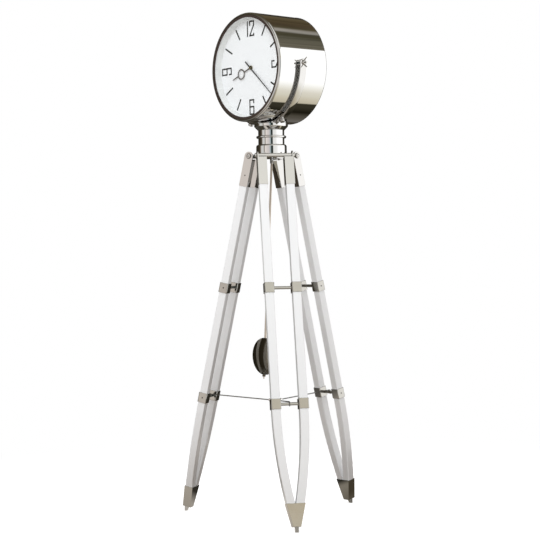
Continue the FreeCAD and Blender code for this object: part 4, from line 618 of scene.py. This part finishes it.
FLOOR = compass([
    (-180, (0.11, 0.105, 0.08)),
    (-162, (0.03, 0.027, 0.017)),
    (-150, (0.17, 0.157, 0.13)),
    (-138, (0.2, 0.18, 0.15)),
    (-110, (0.09, 0.08, 0.06)),
    (-75, (0.12, 0.11, 0.09)),
    (-45, (0.3, 0.28, 0.25)),
    (-15, (0.66, 0.6, 0.54)),
    (40, (0.72, 0.66, 0.6)),
    (90, (1.3, 1.24, 1.12)),
    (120, (1.65, 1.6, 1.45)),
    (168, (1.65, 1.6, 1.45)),
    (170, (0.11, 0.105, 0.078)),
    (179.9, (0.11, 0.105, 0.08)),
])
CEILING = compass([
    (-180, (0.3, 0.27, 0.22)),
    (-176, (0.13, 0.11, 0.06)),
    (-166, (0.11, 0.08, 0.045)),
    (-150, (0.1, 0.075, 0.038)),
    (-138, (0.14, 0.11, 0.06)),
    (-60, (0.09, 0.08, 0.05)),
    (0, (0.25, 0.23, 0.19)),
    (60, (1.3, 1.3, 1.26)),
    (85, (1.3, 1.3, 1.26)),
    (105, (0.45, 0.43, 0.37)),
    (137, (0.23, 0.21, 0.155)),
    (145, (0.18, 0.165, 0.12)),
    (153, (0.15, 0.14, 0.1)),
    (160, (0.088, 0.08, 0.047)),
    (167, (0.1, 0.09, 0.06)),
    (171, (0.38, 0.36, 0.32)),
    (176, (0.4, 0.37, 0.33)),
    (179.9, (0.3, 0.27, 0.22)),
])
# The pale ground runs from dull near the feet to white at the wall.
SHADE = [
    (0.1, (0.3, 0.28, 0.22)),
    (0.26, (0.5, 0.47, 0.4)),
    (0.29, (0.56, 0.53, 0.46)),
    (0.34, (0.63, 0.62, 0.57)),
    (0.4, (0.68, 0.67, 0.64)),
    (0.48, (0.82, 0.83, 0.84)),
    (0.57, (0.97, 1.0, 1.08)),
    (0.64, (1.05, 1.08, 1.18)),
]
walls = ramp(tree, turn_share, WALLS)
ground = ramp(tree, turn_share, FLOOR)
ceiling = ramp(tree, turn_share, CEILING)
depth = maths(tree, "ADD", height, 1.0)
ground = mix_colour(tree, 1.0, ground, ramp(tree, depth, SHADE), "MULTIPLY")
is_wall = step_up(tree, height, *WALL_FROM)
studio = mix_colour(tree, is_wall, ground, walls)
# The wall on the viewer's right is warmer and duller low down than above.
by_height = [
    (0.2, (1.0, 1.0, 1.0)),
    (0.27, (0.9, 0.8, 0.63)),
    (0.34, (0.97, 0.93, 0.85)),
    (0.42, (1.1, 1.09, 1.04)),
    (0.5, (1.05, 1.05, 1.03)),
]
patch = mix_colour(tree, 1.0, studio, ramp(tree, height, by_height), "MULTIPLY")
in_patch = maths(tree, "MULTIPLY", step_up(tree, turn_share, *PATCH_FROM),
                 map_range(tree, turn_share, *PATCH_TO, 1.0, 0.0, True))
studio = mix_colour(tree, in_patch, studio, patch)
streak_place = add(tree, "ShaderNodeCombineXYZ")
link(tree, maths(tree, "MULTIPLY", turn_share, STREAKS_ROUND), streak_place.inputs[0])
link(tree, maths(tree, "MULTIPLY", height, STREAKS_UP), streak_place.inputs[1])
streak_noise = noise(tree, streak_place.outputs[0], 4.0, detail=5.0, roughness=0.65)
streaks = map_range(tree, streak_noise, NOISE_LOW, NOISE_HIGH, 0.7, 1.3)
ceiling = mix_colour(tree, 1.0, ceiling, streaks, "MULTIPLY")
is_ceiling = step_up(tree, height, *CEILING_FROM)
studio = mix_colour(tree, is_ceiling, studio, ceiling)
low_light = (0.62, 0.585, 0.53)
high_light = (0.8, 0.8, 0.81)
soft = mix_colour(tree, step_up(tree, height, *SOFT_RISE), low_light, high_light)

path = add(tree, "ShaderNodeLightPath")
seen = mix_colour(tree, path.outputs["Is Glossy Ray"], soft, studio)
open_view = maths(tree, "MAXIMUM", path.outputs["Is Camera Ray"], path.outputs["Is Transmission Ray"])
seen = mix_colour(tree, open_view, seen, (1, 1, 1))
background = add(tree, "ShaderNodeBackground")
link(tree, seen, background.inputs["Color"])
link(tree, background.outputs[0], output.inputs[0])

# Lamp: one large soft key from the viewer's side, above.
LAMP_TURN = math.radians(34)
LAMP_RISE = math.radians(38)
LAMP_DISTANCE = 5.0
LAMP_TARGET = Vector((0, 0, 0.9))
LAMP_WIDTH = 2.6
LAMP_POWER = 96
lamp_data = bpy.data.lights.new("key_lamp", "AREA")
lamp_data.shape = "DISK"
lamp_data.size = LAMP_WIDTH
lamp_data.energy = LAMP_POWER
lamp_data.color = (0.955, 0.98, 1.0)
lamp = bpy.data.objects.new("key_lamp", lamp_data)
bpy.context.scene.collection.objects.link(lamp)
away = Vector((
    math.sin(LAMP_TURN) * math.cos(LAMP_RISE),
    -math.cos(LAMP_TURN) * math.cos(LAMP_RISE),
    math.sin(LAMP_RISE),
))
lamp.location = LAMP_TARGET + away * LAMP_DISTANCE
lamp.rotation_mode = "QUATERNION"
lamp.rotation_quaternion = away.to_track_quat("Z", "Y")
lamp.visible_glossy = False
lamp.visible_camera = False

# Floor: pale, keeps the clock's shadow near it and runs into the white backdrop.
FLOOR_RADIUS = 6.0
FLOOR_SIDES = 48
FLOOR_GLOW = 0.55
# Distances from the middle between which the floor turns to plain white for the eye, to plain
# white for matt surfaces, and to nothing for polished ones.
SEEN_FADE = (0.9, 2.2)
LIT_FADE = (1.1, 2.6)
MIRROR_FADE = (0.8, 1.0)
# What the floor gives back to matt surfaces, by shares of this distance from the middle.
WARM_REACH = 3.0
WARM = [
    (0.2, (0.14, 0.085, 0.04)),
    (0.4, (0.3, 0.24, 0.18)),
    (0.8, (0.7, 0.69, 0.67)),
]
# What the floor near the feet shows in polished surfaces, by its own direction.
MIRRORED = compass([
    (-180, (0.3, 0.27, 0.22)),
    (-150, (0.47, 0.43, 0.37)),
    (-142, (0.47, 0.43, 0.37)),
    (-130, (0.06, 0.055, 0.045)),
    (-85, (0.06, 0.055, 0.045)),
    (-62, (0.65, 0.6, 0.55)),
    (-35, (0.87, 0.8, 0.72)),
    (20, (0.75, 0.68, 0.6)),
    (70, (0.5, 0.46, 0.4)),
    (115, (0.13, 0.11, 0.08)),
    (168, (0.12, 0.1, 0.07)),
    (179.9, (0.3, 0.27, 0.22)),
])
floor_mesh = bpy.data.meshes.new("floor")
points = []
for n in range(FLOOR_SIDES):
    angle = 2 * math.pi * n / FLOOR_SIDES
    points.append((FLOOR_RADIUS * math.cos(angle), FLOOR_RADIUS * math.sin(angle), 0.0))
floor_mesh.from_pydata(points, [], [list(range(FLOOR_SIDES))])
floor = bpy.data.objects.new("floor", floor_mesh)
bpy.context.scene.collection.objects.link(floor)
material = bpy.data.materials.new("pale_floor")
tree = node_tree(material)
output = add(tree, "ShaderNodeOutputMaterial")
place = add(tree, "ShaderNodeTexCoord").outputs["Object"]
distance = add(tree, "ShaderNodeVectorMath", operation="LENGTH")
link(tree, place, distance.inputs[0])
matt = add(tree, "ShaderNodeBsdfDiffuse")
matt.inputs["Color"].default_value = (0.8, 0.79, 0.78, 1)
glow = add(tree, "ShaderNodeEmission")
glow.inputs["Color"].default_value = (1, 1, 1, 1)
glow.inputs["Strength"].default_value = FLOOR_GLOW
near = add(tree, "ShaderNodeAddShader")
link(tree, matt.outputs[0], near.inputs[0])
link(tree, glow.outputs[0], near.inputs[1])
plain = add(tree, "ShaderNodeEmission")
plain.inputs["Color"].default_value = (1, 1, 1, 1)
far = add(tree, "ShaderNodeMixShader")
link(tree, step_up(tree, distance.outputs["Value"], *SEEN_FADE), far.inputs[0])
link(tree, near.outputs[0], far.inputs[1])
link(tree, plain.outputs[0], far.inputs[2])
path = add(tree, "ShaderNodeLightPath")
open_view = maths(tree, "MAXIMUM", path.outputs["Is Camera Ray"], path.outputs["Is Transmission Ray"])
warm = add(tree, "ShaderNodeBsdfDiffuse")
warm_share = map_range(tree, distance.outputs["Value"], 0.0, WARM_REACH, 0.0, 1.0)
link(tree, ramp(tree, warm_share, WARM), warm.inputs["Color"])
lit = add(tree, "ShaderNodeMixShader")
link(tree, step_up(tree, distance.outputs["Value"], *LIT_FADE), lit.inputs[0])
link(tree, warm.outputs[0], lit.inputs[1])
link(tree, plain.outputs[0], lit.inputs[2])
shown = add(tree, "ShaderNodeMixShader")
link(tree, open_view, shown.inputs[0])
link(tree, lit.outputs[0], shown.inputs[1])
link(tree, far.outputs[0], shown.inputs[2])
around = add(tree, "ShaderNodeSeparateXYZ")
link(tree, place, around.inputs[0])
turn_share = share_of_turn(tree, around.outputs[0], around.outputs[1])
mirrored = add(tree, "ShaderNodeEmission")
link(tree, ramp(tree, turn_share, MIRRORED), mirrored.inputs["Color"])
clear = add(tree, "ShaderNodeBsdfTransparent")
edge = add(tree, "ShaderNodeMixShader")
link(tree, step_up(tree, distance.outputs["Value"], *MIRROR_FADE), edge.inputs[0])
link(tree, mirrored.outputs[0], edge.inputs[1])
link(tree, clear.outputs[0], edge.inputs[2])
seen = add(tree, "ShaderNodeMixShader")
link(tree, path.outputs["Is Glossy Ray"], seen.inputs[0])
link(tree, shown.outputs[0], seen.inputs[1])
link(tree, edge.outputs[0], seen.inputs[2])
link(tree, seen.outputs[0], output.inputs[0])
floor_mesh.materials.append(material)

bpy.context.scene.view_settings.view_transform = "Standard"
